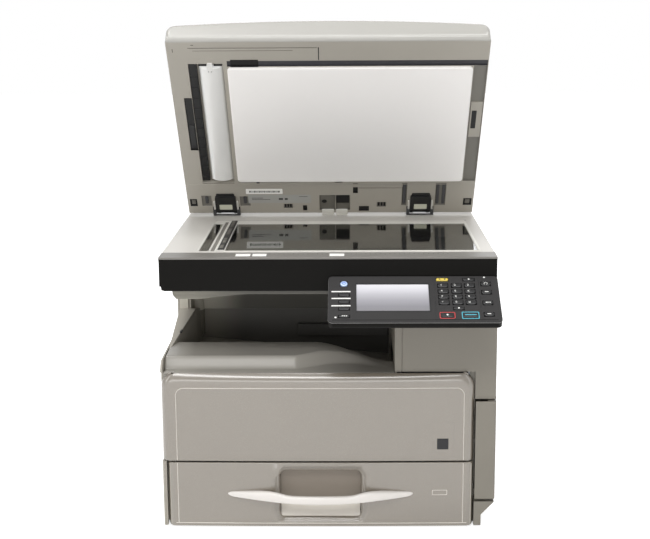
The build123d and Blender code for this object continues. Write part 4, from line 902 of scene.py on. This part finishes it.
# A black block in place of a cut: painted shade for the notch's dark gap
block_piece("post_notch", machine, "chassis", "cavity_plastic", ["black_plastic"],
            ((-229.4, -226.4), (134, 156), (262.2, 264.6), 0.4))

# Jambs: strips behind the narrow gaps beside the front door and the cassette
block_piece("front_jambs", machine, "chassis", "body_plastic", ["body_plastic"],
            ((205.4, 212.9), (16.2, 18.2), (42.6, 236.5)), ((-239.9, -230), (16.2, 18.2), (6, 183)))

# Casing: left cover, tower, right door, rear cover, frame and feet
left_shell = finish_piece(own_copy("left_cover", machine), "left_shell", machine, "chassis",
                          ["body_plastic"], ["left_cover"])
carve_block(left_shell, (-250, -236.9), (-5, 16.0), (102.4, 236.2))
# The scanner case and its floor take the plastic with painted shade: pale at the belly's left tip, darker
# towards the right
case_shell = finish_piece(own_copy("scanner_case", machine), "case_shell", machine, "chassis",
                          ["case_plastic"], ["scanner_case"])
carve_block(case_shell, (-260, -221.6), (-20, 470), (340, 357.4))
block_piece("case_floor", machine, "chassis", "body_plastic", ["case_plastic"],
            ((-238, -221.2), (7, 438), (357.4, 358.6)))
paint("body_plastic", "rear_cover", "feed_cover", "document_tray")
# The tower, right door and bypass tray take the darker copy of the body plastic: painted shade under the
# panel
paint("tower_painted_shade_plastic", "tower_cover", "right_door", "bypass_tray")
paint("black_plastic", "laser_unit", "power_inlet")
for look, node in (("frame_steel", "main_frame"), ("foot_rubber", "rubber_feet"),
                   ("toner_plastic", "toner_bottle"), ("drum_coating", "drum_unit"),
                   ("fuser_metal", "fuser_unit"), ("carriage_metal", "scan_carriage"),
                   ("scanner_plastic", "scanner_top"), ("platen_glass", "scanner_glasses"),
                   ("panel_case_plastic", "panel_case"), ("panel_plastic", "panel_top"),
                   ("screen_face", "touch_screen")):
    paint(look, node)

# Scanner top: retainer strip, light strips, ruler, blank stickers
bm = bmesh.new()
add_slab(bm, round_outline((-187, 221), (284, 315.5), 2), SCANNER_TOP, SCANNER_TOP + 0.4, edge=0.2)
for x, y, rise, edge, material in (
        ((-172.5, -170.6), (49, 300), 1.2, 0.5, 0), ((-170.2, -165.4), (49, 300), 0.6, 0.3, 1),
        ((-165, -161.5), (49, 300), 1.2, 0.5, 0), ((-190.5, -188), (49, 288), 0.8, 0.3, 0),
        ((217.3, 221), (47, 284), 1.2, 0.5, 0), ((-151, 221), (44.5, 47.8), 1.0, 0.4, 0)):
    add_block(bm, x, y, (SCANNER_TOP, SCANNER_TOP + rise), edge, material)
finish_piece(bm, "platen_borders", machine, "chassis", ["pale_plastic", "grey_plastic"])
bm = bmesh.new()
add_block(bm, (-188, 224), (316, 318), (SCANNER_TOP - 0.2, SCANNER_TOP + 0.15))
add_block(bm, (-161, -151.6), (60, 312), (SCANNER_TOP, SCANNER_TOP + 1.25), edge=0.3)
for step in range(17):
    if step not in (2, 6, 7, 12):
        start = 70 + step * 14.2
        add_block(bm, (-159.5, -154.5), (start, start + (7.5 if step % 3 else 10.5)),
                  (SCANNER_TOP + 1.2, SCANNER_TOP + 1.33), material=1)
finish_piece(bm, "ruler_strip", machine, "chassis", ["black_plastic", "grey_plastic"])

# Front bezel: a copy of its form, with the paler strip on top and its blank stickers
STRIP_FOOT = 403.2
bm = own_copy("front_bezel", machine)
bmesh.ops.bisect_plane(bm, geom=bm.verts[:] + bm.edges[:] + bm.faces[:], plane_co=(0, 0, STRIP_FOOT),
                       plane_no=(0, 0, 1))
for face in bm.faces:
    if face.calc_center_median().z > STRIP_FOOT:
        face.material_index = 1
finish_piece(bm, "bezel_face", machine, "chassis", ["bezel_plastic", "strip_plastic"],
             ["front_bezel"])
bm = bmesh.new()
for left, right in ((-131.5, -110.5), (-107.5, -87.5), (2.5, 23.5)):
    add_slab(bm, round_outline((left, right), (9, 27), 0.8), SCANNER_TOP, SCANNER_TOP + 0.15)
for step in range(38):
    start = -84 + step * 6.9
    if start < 2 or start > 27:
        add_block(bm, (start, start + 0.7), (23, 27 if step % 5 else 30),
                  (SCANNER_TOP, SCANNER_TOP + 0.1), material=1)
finish_piece(bm, "strip_stickers", machine, "chassis", ["sticker_paper", "dark_print"])

# Ribbon cable of the scan carriage, lying on the floor of the scanner case
CABLE_MIDDLE, CABLE_HALF = 235, 57
CABLE_TURN, CABLE_BULGE = 30, 42
bm = bmesh.new()
turns = [(x, CABLE_MIDDLE + CABLE_HALF) for x in spread(-160, CABLE_TURN, 10)]
for angle in spread(math.pi / 2, -math.pi / 2, 12)[1:]:
    turns.append((CABLE_TURN + CABLE_BULGE * math.cos(angle), CABLE_MIDDLE + CABLE_HALF * math.sin(angle)))
turns += [(x, CABLE_MIDDLE - CABLE_HALF) for x in spread(CABLE_TURN, -120, 8)[1:]]
add_path(bm, turns, 3.2, 355.1, 355.7)
finish_piece(bm, "ribbon_cable", machine, "chassis", ["pale_plastic"])

# Lid base: a copy of its form with pockets cut in its underside and inserts laid in them
# In the underside's space X runs to the right, Y is the reach from the hinge and Z points out of the lid.
FASCIA_REACH = 378.5
POCKETS = (
    # The strip between the pad and the fascia takes material 5, the toner plastic, as painted shade in the
    # gap
    ((-151, 237.8), (330.5, 341.5), (-2.4, 1), 5),
    ((-146, -104), (329, 344), (-2.8, 1), 2),
    ((218, 238), (74.5, 330.2), (-2.6, 1), 3),
    ((-14.6, -13.2), (343, 368), (-1.2, 1), 2),
    ((-207, -16), (366.6, 367.7), (-0.5, 1), 1),
    ((-200, -52), (361.4, 362.2), (-0.4, 1), 1),
    ((-222, -209.9), (149.5, 265.5), (-2.6, 1), 2),
    ((-18, 8), (2.5, 40.5), (-2.7, 1), 1),
    ((9, 33), (2.5, 40.5), (-2.7, 1), 1),
    ((48, 65), (0.5, 12.5), (-2.4, 1), 2),
    ((78, 93.5), (11, 22.5), (-2.2, 1), 3),
    ((-78, -63), (8, 18.5), (-2.2, 1), 3),
    ((-46, -39), (2, 15), (-2.4, 1), 2),
    ((38, 46), (45.5, 69), (-2.2, 1), 2),
    ((47, 118), (57.4, 58.4), (-0.5, 1), 1),
    ((119, 127.5), (14.5, 69.5), (-1.8, 1), 3),
    ((174.5, 192), (14.5, 69.5), (-1.8, 1), 3),
    ((-215, -198.5), (14.5, 40), (-1.8, 1), 3),
    ((-151, -134), (14.5, 38), (-1.8, 1), 3),
    ((-235, -223), (13.5, 31.5), (-2.2, 1), 2),
    ((222, 236), (14.5, 31.5), (-2.2, 1), 2),
    ((8, 20), (71.5, 76.8), (-1.6, 1), 2),
    ((-121, -116), (70, 73.5), (-1.0, 1), 2),
    ((-210, -157.5), (70.5, 71.3), (-0.5, 1), 2),
    ((-150, -50), (72.6, 73.2), (-0.4, 1), 1),
    ((-230.2, -229.4), (359, 366), (-0.8, 1), 2),
    ((-202, -198), (372.5, 373.5), (-0.5, 1), 2),
)
lid_shell = finish_piece(own_copy("lid_base", underside), "lid_shell", underside, "lid",
                         ["lid_plastic", "channel_plastic", "black_plastic", "grey_plastic", "fascia_plastic",
                          "toner_plastic"], ["lid_base"])
carve(lid_shell, POCKETS, underside)
to_underside = underside.inverted()
for face in lid_shell.data.polygons:
    if (to_underside @ face.center).y > FASCIA_REACH and not face.material_index:
        face.material_index = 4

# What lies in the pockets and on the underside: mechanism, tabs, labels, springs
bm = bmesh.new()
add_blocks(bm, ((219, 237.4), (177.5, 253), (-2.7, -0.1), 0.8, 4),
           ((221.5, 229), (197, 236), (-0.5, 0.05), 0.0, 1),
           ((-16.5, 6.5), (20, 39), (-2.8, -1.0), 0.6, 2),
           ((10.5, 31.5), (19, 38.5), (-2.8, -1.4), 0.6, 1))
add_lathe(bm, (-10, 24), [(4.2, -2.6), (4.2, -0.6), (3.4, -0.2), (1.2, -0.2)], material=1)
for left, right in ((-14, 6.2), (9.4, 29)):
    add_slab(bm, round_outline((left, right), (-10.5, 3.4), 1.2), -2.0, 1.2, edge=0.6, material=3)
add_block(bm, (50, 63), (2, 11), (-2.5, -1.2), edge=0.4, material=1)
for left in (-76.6, -72.2, -67.8):
    add_block(bm, (left, left + 2.6), (9.4, 17), (-2.3, -0.9), edge=0.3, material=1)
for left in (79.6, 84.6, 89.2):
    add_block(bm, (left, left + 3.0), (12.2, 21.4), (-2.3, -0.8), edge=0.3, material=1)
for left, right in ((-232, -226), (225.2, 232.8)):
    add_block(bm, (left, right), (17.5, 27.5), (-2.3, -1.2), edge=0.3, material=2)
finish_piece(bm, "underside_inserts", underside, "lid",
             ["grey_plastic", "black_plastic", "channel_plastic", "pale_plastic", "lid_plastic"])
bm = bmesh.new()
for middle in (123.2, 178.6, 188.2, -206.6, -142.4):
    low_end, high_end, coils = (20, 36, 4) if middle < 0 else (18, 66, 9)
    rows = []
    for step, reach in enumerate(spread(low_end, high_end, coils * 2)):
        ring = circle(middle, 0, 3.0 if step % 2 else 2.3, 10)
        rows.append([(x, reach, -1.2 + 0.5 * z) for x, z in ring])
    add_loft(bm, rows)
finish_piece(bm, "underside_springs", underside, "lid", ["carriage_metal"])
bm = bmesh.new()
add_slab(bm, round_outline((-140, -79), (44, 56.5), 1), -0.2, 0.15)
add_slab(bm, round_outline((-137, -32), (21, 41.5), 1), -0.2, 0.12, material=1)
for step in range(26):
    left = -134.5 + step * 2.0
    add_block(bm, (left, left + (1.0 if step % 4 else 1.5)), (47.5, 52), (0.1, 0.18), material=2)
for left, right, low, high in ((-131, -112, 33, 34.2), (-131, -100, 29.6, 30.6), (-86, -79, 29, 33.4),
                               (-76, -71, 29, 33.4), (-52, -38, 36.5, 37.4)):
    add_block(bm, (left, right), (low, high), (0.08, 0.15), material=3)
finish_piece(bm, "underside_labels", underside, "lid",
             ["sticker_paper", "silver_label", "dark_print", "dark_print"])

# Small light marks along the window's edge, and low ribs over the underside
block_piece("underside_ribs", underside, "lid", "lid_plastic", ["lid_plastic"],
            ((-197, -192), (345, 347), (-0.2, 0.3), 0.2), ((-176, -171), (345, 347), (-0.2, 0.3), 0.2),
            ((-114, -109), (347, 349), (-0.2, 0.3), 0.2), ((-238.5, 238.5), (66.4, 67.6), (-0.2, 0.35), 0.3),
            ((38, 120), (60, 66), (-0.2, 0.3), 0.3))

# Platen pad: a foam sheet with rounded corners and edges
PAD_X, PAD_REACH, PAD_CORNER = (-151.0, 216.5), (77.5, 329.5), 5.5
bm = bmesh.new()
rows = []
for inset, height in ((0.4, 0.0), (0.0, 0.8), (0.0, 3.2), (0.35, 4.0), (1.0, 4.4), (2.2, 4.56)):
    across, along = [(low + inset, high - inset) for low, high in (PAD_X, PAD_REACH)]
    outline = round_outline(across, along, PAD_CORNER - inset)
    rows.append([(x, y, height) for x, y in outline])
add_loft(bm, rows)
pad = finish_piece(bm, "pad_sheet", underside, "lid", ["pad_sheet"], ["platen_pad"])

# Reading guide: a glossy arched plate with slots at its front end
GUIDE_MIDDLE, GUIDE_HALF, GUIDE_REACH = -176.0, 18, (73.5, 334.5)
GUIDE_FOOT, GUIDE_RISE, GUIDE_END = -6.6, 9.7, 2.5
bm = bmesh.new()
rows = []
for reach in spread(*GUIDE_REACH, 40):
    end = min(reach - GUIDE_REACH[0], GUIDE_REACH[1] - reach)
    soft = math.sqrt(max(0.0, 1 - max(0.0, 1 - end / GUIDE_END) ** 2))
    arch = []
    for turn in range(17):
        angle = math.pi * turn / 16
        arch.append((GUIDE_MIDDLE - GUIDE_HALF * math.cos(angle), reach,
                     GUIDE_FOOT + GUIDE_RISE * soft * math.sin(angle) ** 0.9))
    floor = [(x, y, min(z, GUIDE_FOOT) - 0.9) for x, y, z in arch[::-1]]
    rows.append(arch + floor)
add_loft(bm, rows)
finish_piece(bm, "guide_plate", underside, "lid", ["guide_gloss"], ["reading_guide"])
bm = bmesh.new()
for left, right in ((-194, -182), (-171, -158.5)):
    add_block(bm, (left, right), (331, 336.5), (-6, -0.6), edge=0.4)
add_slab(bm, round_outline((-180.5, -172.5), (322, 338), 1.0), -2.0, 3.4, edge=0.5, material=1)
for left in (-180, -175.6):
    add_block(bm, (left, left + 1.6), (322.6, 323.6), (3.2, 3.5))
finish_piece(bm, "guide_ends", underside, "lid", ["black_plastic", "guide_gloss"])
rungs = [((-208, -198.5), (reach, reach + 1.4), (-2.2, -1.0), 0.3) for reach in range(86, 307, 22)]
block_piece("guide_well", underside, "lid", "guide_plastic", ["black_plastic", "dark_plastic"],
            ((-209, -197), (76, 334), (-7.6, -2.0), 0.5), ((-221.4, -210), (150, 265), (-2.7, -2.0), 0.5),
            *rungs, ((-219, -212), (160, 205), (-2.2, -0.8), 0.4, 1))

# Hinges: black knuckle plates with side springs and a pale label, and black feet on the scanner
HINGE_LEFTS = (-197.6, 128.3)
HINGE_WIDTH = 45
EAR_RADIUS = 6.5
bm = bmesh.new()
for left in HINGE_LEFTS:
    a, b = left + 5.3, left + 39.7
    add_slab(bm, round_outline((a, b), (6.5, 40), 3), 0, 4.6, edge=0.9)
    add_slab(bm, round_outline((a + 2, b - 2), (36, 45), 2.5), -0.2, 2.4, edge=0.6)
    add_slab(bm, round_outline((a + 6.5, b - 6.5), (10, 22), 1), 4.4, 4.9, edge=0.2, material=1)
    for side in (a - 3.6, b + 0.6):
        add_slab(bm, round_outline((side, side + 3), (7, 27), 1.2), -1, 2.6, edge=0.6, material=2)
    add_rod(bm, (a, b), 0, -5, 5.8, 24)
finish_piece(bm, "hinge_plates", underside, "lid",
             ["hinge_black", "hinge_label", "pale_plastic"], ["hinge_arms"])
ear_outline = [(HINGE_Y + EAR_RADIUS * math.cos(turn), HINGE_Z + EAR_RADIUS * math.sin(turn))
               for turn in spread(0, math.pi, 14)]
ear_outline += [(HINGE_Y - EAR_RADIUS, SCANNER_TOP), (HINGE_Y + EAR_RADIUS, SCANNER_TOP)]
bm = bmesh.new()
for left in HINGE_LEFTS:
    right = left + HINGE_WIDTH
    add_slab(bm, round_outline((left, right), (373.4, 396), 2), SCANNER_TOP, SCANNER_TOP + 2.4, edge=0.7)
    for ear in (left, right - 5):
        add_loft(bm, [[(x, y, z) for y, z in ear_outline] for x in (ear, ear + 5)])
    add_rod(bm, (left, right), HINGE_Y, HINGE_Z, 3, 18)
    for x in (left + 9, right - 9):
        profile = [(2.8, SCANNER_TOP + 2.3), (2.8, SCANNER_TOP + 3.4), (2.2, SCANNER_TOP + 3.8)]
        add_lathe(bm, (x, 390.5), profile, sides=20, material=1)
finish_piece(bm, "hinge_feet", machine, "chassis", ["hinge_black", "carriage_metal"],
             ["hinge_brackets"])

# Panel: printed lines, lamps and bars on the face plate, and the pale line round its edge, a painted
# highlight
PANEL_LEFT, PANEL_RIGHT, PANEL_LENGTH = 1.2, 239.2, 93.0
bm = bmesh.new()
for down in (31.7, 45.8, 60.6):
    add_slab(bm, round_outline((5.6, 32.3), (-down - 1.1, -down + 1.1), 0.6), -0.1, 0.16)
for line_x in (149.2, 211.6):
    add_block(bm, (line_x, line_x + 0.5), (-88, -4), (-0.1, 0.06), material=3)
for x, down, radius in ((220.5, 2.6, 1.4), (11.4, 84, 1.5)):
    add_lathe(bm, (x, -down), [(radius, -0.1), (radius, 0.3), (radius * 0.6, 0.55)], sides=18)
for down in (38.9, 53.0, 67.3):
    add_block(bm, (7.4, 12.4), (-down - 0.5, -down + 0.5), (-0.1, 0.1), material=3)
add_block(bm, (155, 210), (-86.9, -86.3), (-0.1, 0.05), material=3)
add_slab(bm, round_outline((153.7, 175.6), (-86.9, -73.4), 2.2), -0.12, 0.0, material=4)
add_ring(bm, round_outline((153.9, 175.3), (-86.6, -73.7), 2.0),
         round_outline((154.9, 174.3), (-85.6, -74.7), 1.4), -0.1, 0.14, material=1)
add_ring(bm, round_outline((184.2, 208.2), (-87.2, -73.2), 1.6),
         round_outline((185.5, 206.9), (-85.9, -74.5), 0.9), -0.1, 0.16, material=2)
finish_piece(bm, "panel_prints", panel, "panel",
             ["white_print", "red_print", "teal_print", "black_plastic", "panel_plastic"])
bm = bmesh.new()
add_ring(bm, round_outline((PANEL_LEFT - 0.25, PANEL_RIGHT + 0.25), (-PANEL_LENGTH - 0.25, 0.25), 6.2, 8),
         round_outline((PANEL_LEFT + 1, PANEL_RIGHT - 1), (-PANEL_LENGTH + 1, -1), 5.2, 8), -2.35, -1.5)
finish_piece(bm, "panel_rim", panel, "panel", ["panel_edge_painted_highlight"])
profile = ((-88.6, -2.0), (-88.6, 0.12), (-91.2, -0.2), (-92.8, -1.4), (-93.2, -3.6), (-93.2, -9.5),
           (-91.0, -11.3), (-88.6, -11.3))
bm = bmesh.new()
add_loft(bm, [[(x, y, z) for y, z in profile] for x in spread(PANEL_LEFT + 5.6, PANEL_RIGHT - 5.6, 12)])
finish_piece(bm, "panel_lip", panel, "panel", ["bezel_plastic"])
bm = bmesh.new()
add_ring(bm, round_outline((38.6, 142.9), (-72.9, -13.9), 1.4),
         round_outline((40.4, 141.1), (-71.1, -15.9), 0.8), -1.2, 0.25)
finish_piece(bm, "screen_border", panel, "panel", ["black_plastic"])

# Keys: each with its middle, how far down the panel it lies, its width, its length and its mark
KEY_ROWS = (19.8, 32.0, 43.5, 55.0)
KEY_COLUMNS = (161.5, 180.5, 198.8)
NUMERALS = (("one", "1"), ("two", "2"), ("three", "3"), ("four", "4"), ("five", "5"), ("six", "6"),
            ("seven", "7"), ("eight", "8"), ("nine", "9"), ("star", "*"), ("zero", "0"), ("hash", "#"))
key_list = [("power_key", 23.1, 15.9, 10.4, 10.4, "disc")]
key_list += [("function_key_%d" % (row + 1), 23.2, 38.7 + 14.2 * row, 15.5, 5.4, None) for row in range(3)]
key_list += [("program_key", 23.2, 82.1, 15.5, 5.4, "dots"), ("reset_key", 161.2, 7.4, 17.0, 5.6, "pair"),
             ("interrupt_key", 198.3, 7.6, 17.0, 5.6, "dot"), ("energy_key", 221.6, 16.6, 14.0, 8.6, "moon"),
             ("login_key", 221.6, 33.7, 14.0, 8.6, "dash"), ("counter_key", 221.6, 55.4, 14.0, 8.6, "dots"),
             ("preview_key", 221.6, 78.4, 14.0, 8.6, "dash")]
key_list += [("number_key_" + name, KEY_COLUMNS[at % 3], KEY_ROWS[at // 3], 14.7, 8.4, numeral)
             for at, (name, numeral) in enumerate(NUMERALS)]
key_list += [("clear_key", 181.0, 66.6, 14.7, 5.8, "dot"), ("stop_key", 164.6, 80.2, 18.0, 9.6, "diamond"),
             ("start_key", 196.2, 80.2, 21.0, 10.6, "sheen")]
KEY_STYLES = {
    "power_key": ("key_blue", "ring_blue", "key_blue"),
    "reset_key": ("key_yellow", "dark_print", "key_yellow"),
    "stop_key": ("key_grey", "white_print", "key_red"),
    "start_key": ("key_grey", "teal_print", "key_teal"),
}
KEY_CORNERS = {"start_key": 1.4, "stop_key": 3.0, "power_key": 5.096}
KEY_TOP = 1.25
MARK_FOOT, MARK_TOP = KEY_TOP - 0.1, KEY_TOP + 0.1


def key_mark(bm, mark, x, y, wide):
    """Draw a key's printed mark on its top."""
    if mark == "disc":
        add_ring(bm, circle(x, y, 2.9, 24), circle(x, y, 2.088, 24), MARK_FOOT, MARK_TOP, material=1)
        add_block(bm, (x - 0.4, x + 0.4), (y + 0.2, y + 3.4), (MARK_FOOT, KEY_TOP + 0.16), material=1)
    elif mark in ("pair", "dot"):
        tip = 1.0 if mark == "pair" else 0.9
        for side in (-3.6, 3.6) if mark == "pair" else (0,):
            profile = [(1.3, MARK_FOOT), (1.3, MARK_TOP), (tip, KEY_TOP + 0.14)]
            add_lathe(bm, (x + side, y), profile, 14, 1)
    elif mark == "dots":
        for side in (-3.2, -0.6, 2.2):
            add_block(bm, (x + side, x + side + 1.9), (y - 0.7, y + 0.8), (MARK_FOOT, MARK_TOP), material=1)
    elif mark == "moon":
        arc = [math.radians(a) for a in range(-60, 241, 25)]
        points = [(x + 2.3 * math.cos(a), y + 2.3 * math.sin(a)) for a in arc]
        add_path(bm, points, 0.45, MARK_FOOT, MARK_TOP, material=1)
    elif mark == "dash":
        outline = round_outline((x - 2.6, x + 2.6), (y - 0.6, y + 0.6), 0.5)
        add_slab(bm, outline, MARK_FOOT, MARK_TOP, material=1)
    elif mark == "diamond":
        outline = [(x - 1.8, y), (x, y - 1.8), (x + 1.8, y), (x, y + 1.8)]
        add_slab(bm, outline, MARK_FOOT, MARK_TOP, material=1)
    elif mark == "sheen":
        add_slab(bm, round_outline((x - wide / 2 + 2.4, x + wide / 2 - 2.4), (y - 0.7, y + 0.9), 0.6),
                 MARK_FOOT, KEY_TOP + 0.08, material=1)
    elif mark:
        add_words(bm, mark, 5.2, x - wide * 0.16, y + 0.2, KEY_TOP + 0.06, material=1)


for name, x, down, wide, long, mark in key_list:
    cap, print_look, key_slot = KEY_STYLES.get(name, ("key_grey", "white_print", "key_black"))
    bm = bmesh.new()
    y = -down
    corner = KEY_CORNERS.get(name, min(long * 0.49, 3.6))
    rows = []
    for inset, height in ((0.0, -5.8), (0.0, 0.25), (0.18, 0.7), (0.5, 1.0), (1.1, 1.18), (1.9, KEY_TOP)):
        outline = round_outline((x - wide / 2 + inset, x + wide / 2 - inset),
                                (y - long / 2 + inset, y + long / 2 - inset), max(corner - inset, 0.3), 7)
        rows.append([(a, b, height) for a, b in outline])
    add_loft(bm, rows)
    # The lower sides of a dark grey key take black plastic: painted shade below its top
    if cap == "key_grey":
        for face in bm.faces:
            if face.calc_center_median().z < 0.6:
                face.material_index = 2
    key_mark(bm, mark, x, y, wide)
    finish_piece(bm, name + "_cap", panel, name, [cap, print_look, "black_plastic"], [name])

# Feeder: a seam and a latch, seen from above and behind
FEEDER_TOP = 78.0
bm = bmesh.new()
add_ring(bm, round_outline((-214, -104), (-300, -60), 8), round_outline((-213, -105), (-299, -61), 7),
         FEEDER_TOP - 1.0, FEEDER_TOP + 0.12, material=1)
add_slab(bm, round_outline((-110, -92), (-196, -152), 4), FEEDER_TOP - 1.0, FEEDER_TOP + 0.5, edge=0.4,
         material=1)
finish_piece(bm, "feeder_panel", lid, "feeder_hood", ["body_plastic", "grey_plastic"])

# Left side: the recessed grip's dark floor
bm = bmesh.new()
add_slab(bm, round_outline((-150, -58), (118, 140), 6), -1.35, -1.25)
finish_piece(bm, "left_grip", left_side, "chassis", ["grey_plastic"])

# Rear: dark mesh behind the grilles, and screws
block_piece("grille_backs", back, "chassis", "body_plastic", ["black_plastic"],
            *(((middle - 38, middle + 38), (205, 295), (-4.4, -3.2)) for middle in (-130, 130)))
bm = bmesh.new()
for x, z in ((-225, 340), (225, 340), (-225, 60), (225, 60), (0, 340), (0, 20)):
    add_lathe(bm, (x, z), [(3.6, -0.2), (3.6, 0.0), (3.2, 0.0)], sides=20)
finish_piece(bm, "rear_screws", back, "chassis", ["frame_steel"])

# Stage: a pale floor, a white world, and soft lamps
FLOOR_REACH = 9.0
FLOOR_GLOW = 0.74
AMBIENT = 0.42
floor_mesh = bpy.data.meshes.new("floor")
floor_corners = box_outline((-FLOOR_REACH, FLOOR_REACH), (-FLOOR_REACH, FLOOR_REACH))
floor_mesh.from_pydata([(x, y, 0) for x, y in floor_corners], [], [(0, 1, 2, 3)])
new_object("floor", floor_mesh)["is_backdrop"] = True


def seen_by_rays(tree):
    """One for rays from the camera, from gloss and through glass."""
    path = add_node(tree, "LightPath", {}).outputs
    seen = path["Is Camera Ray"]
    for ray in ("Is Glossy Ray", "Is Transmission Ray"):
        either = add_node(tree, "Math", {0: seen, 1: path[ray]})
        either.operation = "MAXIMUM"
        seen = either.outputs["Value"]
    return seen


floor_paper = bpy.data.materials.new("floor_paper")
floor_paper.use_nodes = True
tree = floor_paper.node_tree
tree.nodes.clear()
output = add_node(tree, "OutputMaterial", {})
paper = add_node(tree, "BsdfDiffuse", {"Color": (0.9, 0.9, 0.9, 1)})
glow = add_node(tree, "Emission", {})
strength = add_node(tree, "Math", {1: FLOOR_GLOW})
strength.operation = "MULTIPLY"
fill(strength, {0: seen_by_rays(tree)})
fill(glow, {"Strength": strength.outputs["Value"]})
total = add_node(tree, "AddShader", {0: paper.outputs["BSDF"], 1: glow.outputs["Emission"]})
fill(output, {"Surface": total.outputs["Shader"]})
floor_mesh.materials.append(floor_paper)

world = bpy.data.worlds.new("studio")
bpy.context.scene.world = world
world.use_nodes = True
tree = world.node_tree
level = add_node(tree, "MapRange", {"To Min": AMBIENT, "To Max": 1.0})
fill(level, {"Value": seen_by_rays(tree)})
fill(tree.nodes["Background"], {"Color": (1, 1, 1, 1), "Strength": level.outputs["Result"]})


def lamp(name, place, target, wide, high, power):
    """A soft rectangular lamp at a place, turned to a target."""
    light = bpy.data.lights.new(name, "AREA")
    light.shape = "RECTANGLE"
    light.size = wide
    light.size_y = high
    light.energy = power
    carrier = new_object(name, light)
    carrier.location = place
    carrier.rotation_euler = (Vector(target) - Vector(place)).to_track_quat("-Z", "Y").to_euler()


lamp("top_lamp", (-0.1, -0.25, 2.6), (0, 0.05, 0.3), 2.2, 0.6, 26)
lamp("high_lamp", (-0.3, -2.1, 2.5), (0, 0, 0.35), 1.8, 0.7, 28)
lamp("front_lamp", (-0.4, -3.0, 0.45), (0, 0, 0.5), 2.4, 0.7, 14)
lamp("left_lamp", (-2.3, -1.7, 1.3), (0, 0, 0.3), 0.5, 2.0, 11)
lamp("right_lamp", (2.4, -1.5, 1.3), (0, 0, 0.3), 0.5, 2.0, 7)
lamp("rear_lamp", (0.3, 2.9, 1.2), (0, 0, 0.3), 1.8, 1.4, 8)

# Camera: solved from the photograph's straight edges
PHOTO_WIDTH, FOCAL_PIXELS = 650, 1321.72
SENSOR = 36
CAMERA_PLACE = Vector((25.7, -1832.1 + FRONT_Y, 761.9))
PITCH, YAW, TILT = math.radians(11.52), math.radians(-0.92), math.radians(-0.33)
forward = Vector((math.sin(YAW) * math.cos(PITCH), math.cos(YAW) * math.cos(PITCH), -math.sin(PITCH)))
level_right = Vector((math.cos(YAW), -math.sin(YAW), 0))
level_up = level_right.cross(forward)
right = math.cos(TILT) * level_right + math.sin(TILT) * level_up
up = -math.sin(TILT) * level_right + math.cos(TILT) * level_up
camera_data = bpy.data.cameras.new("camera")
camera_data.sensor_width = SENSOR
camera_data.lens = FOCAL_PIXELS / PHOTO_WIDTH * SENSOR
camera = new_object("camera", camera_data)
turn = Matrix((right, up, -forward)).transposed().to_4x4()
camera.matrix_world = Matrix.Translation(CAMERA_PLACE * MM) @ turn
bpy.context.scene.camera = camera
bpy.context.scene.view_settings.view_transform = "Standard"

low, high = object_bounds()
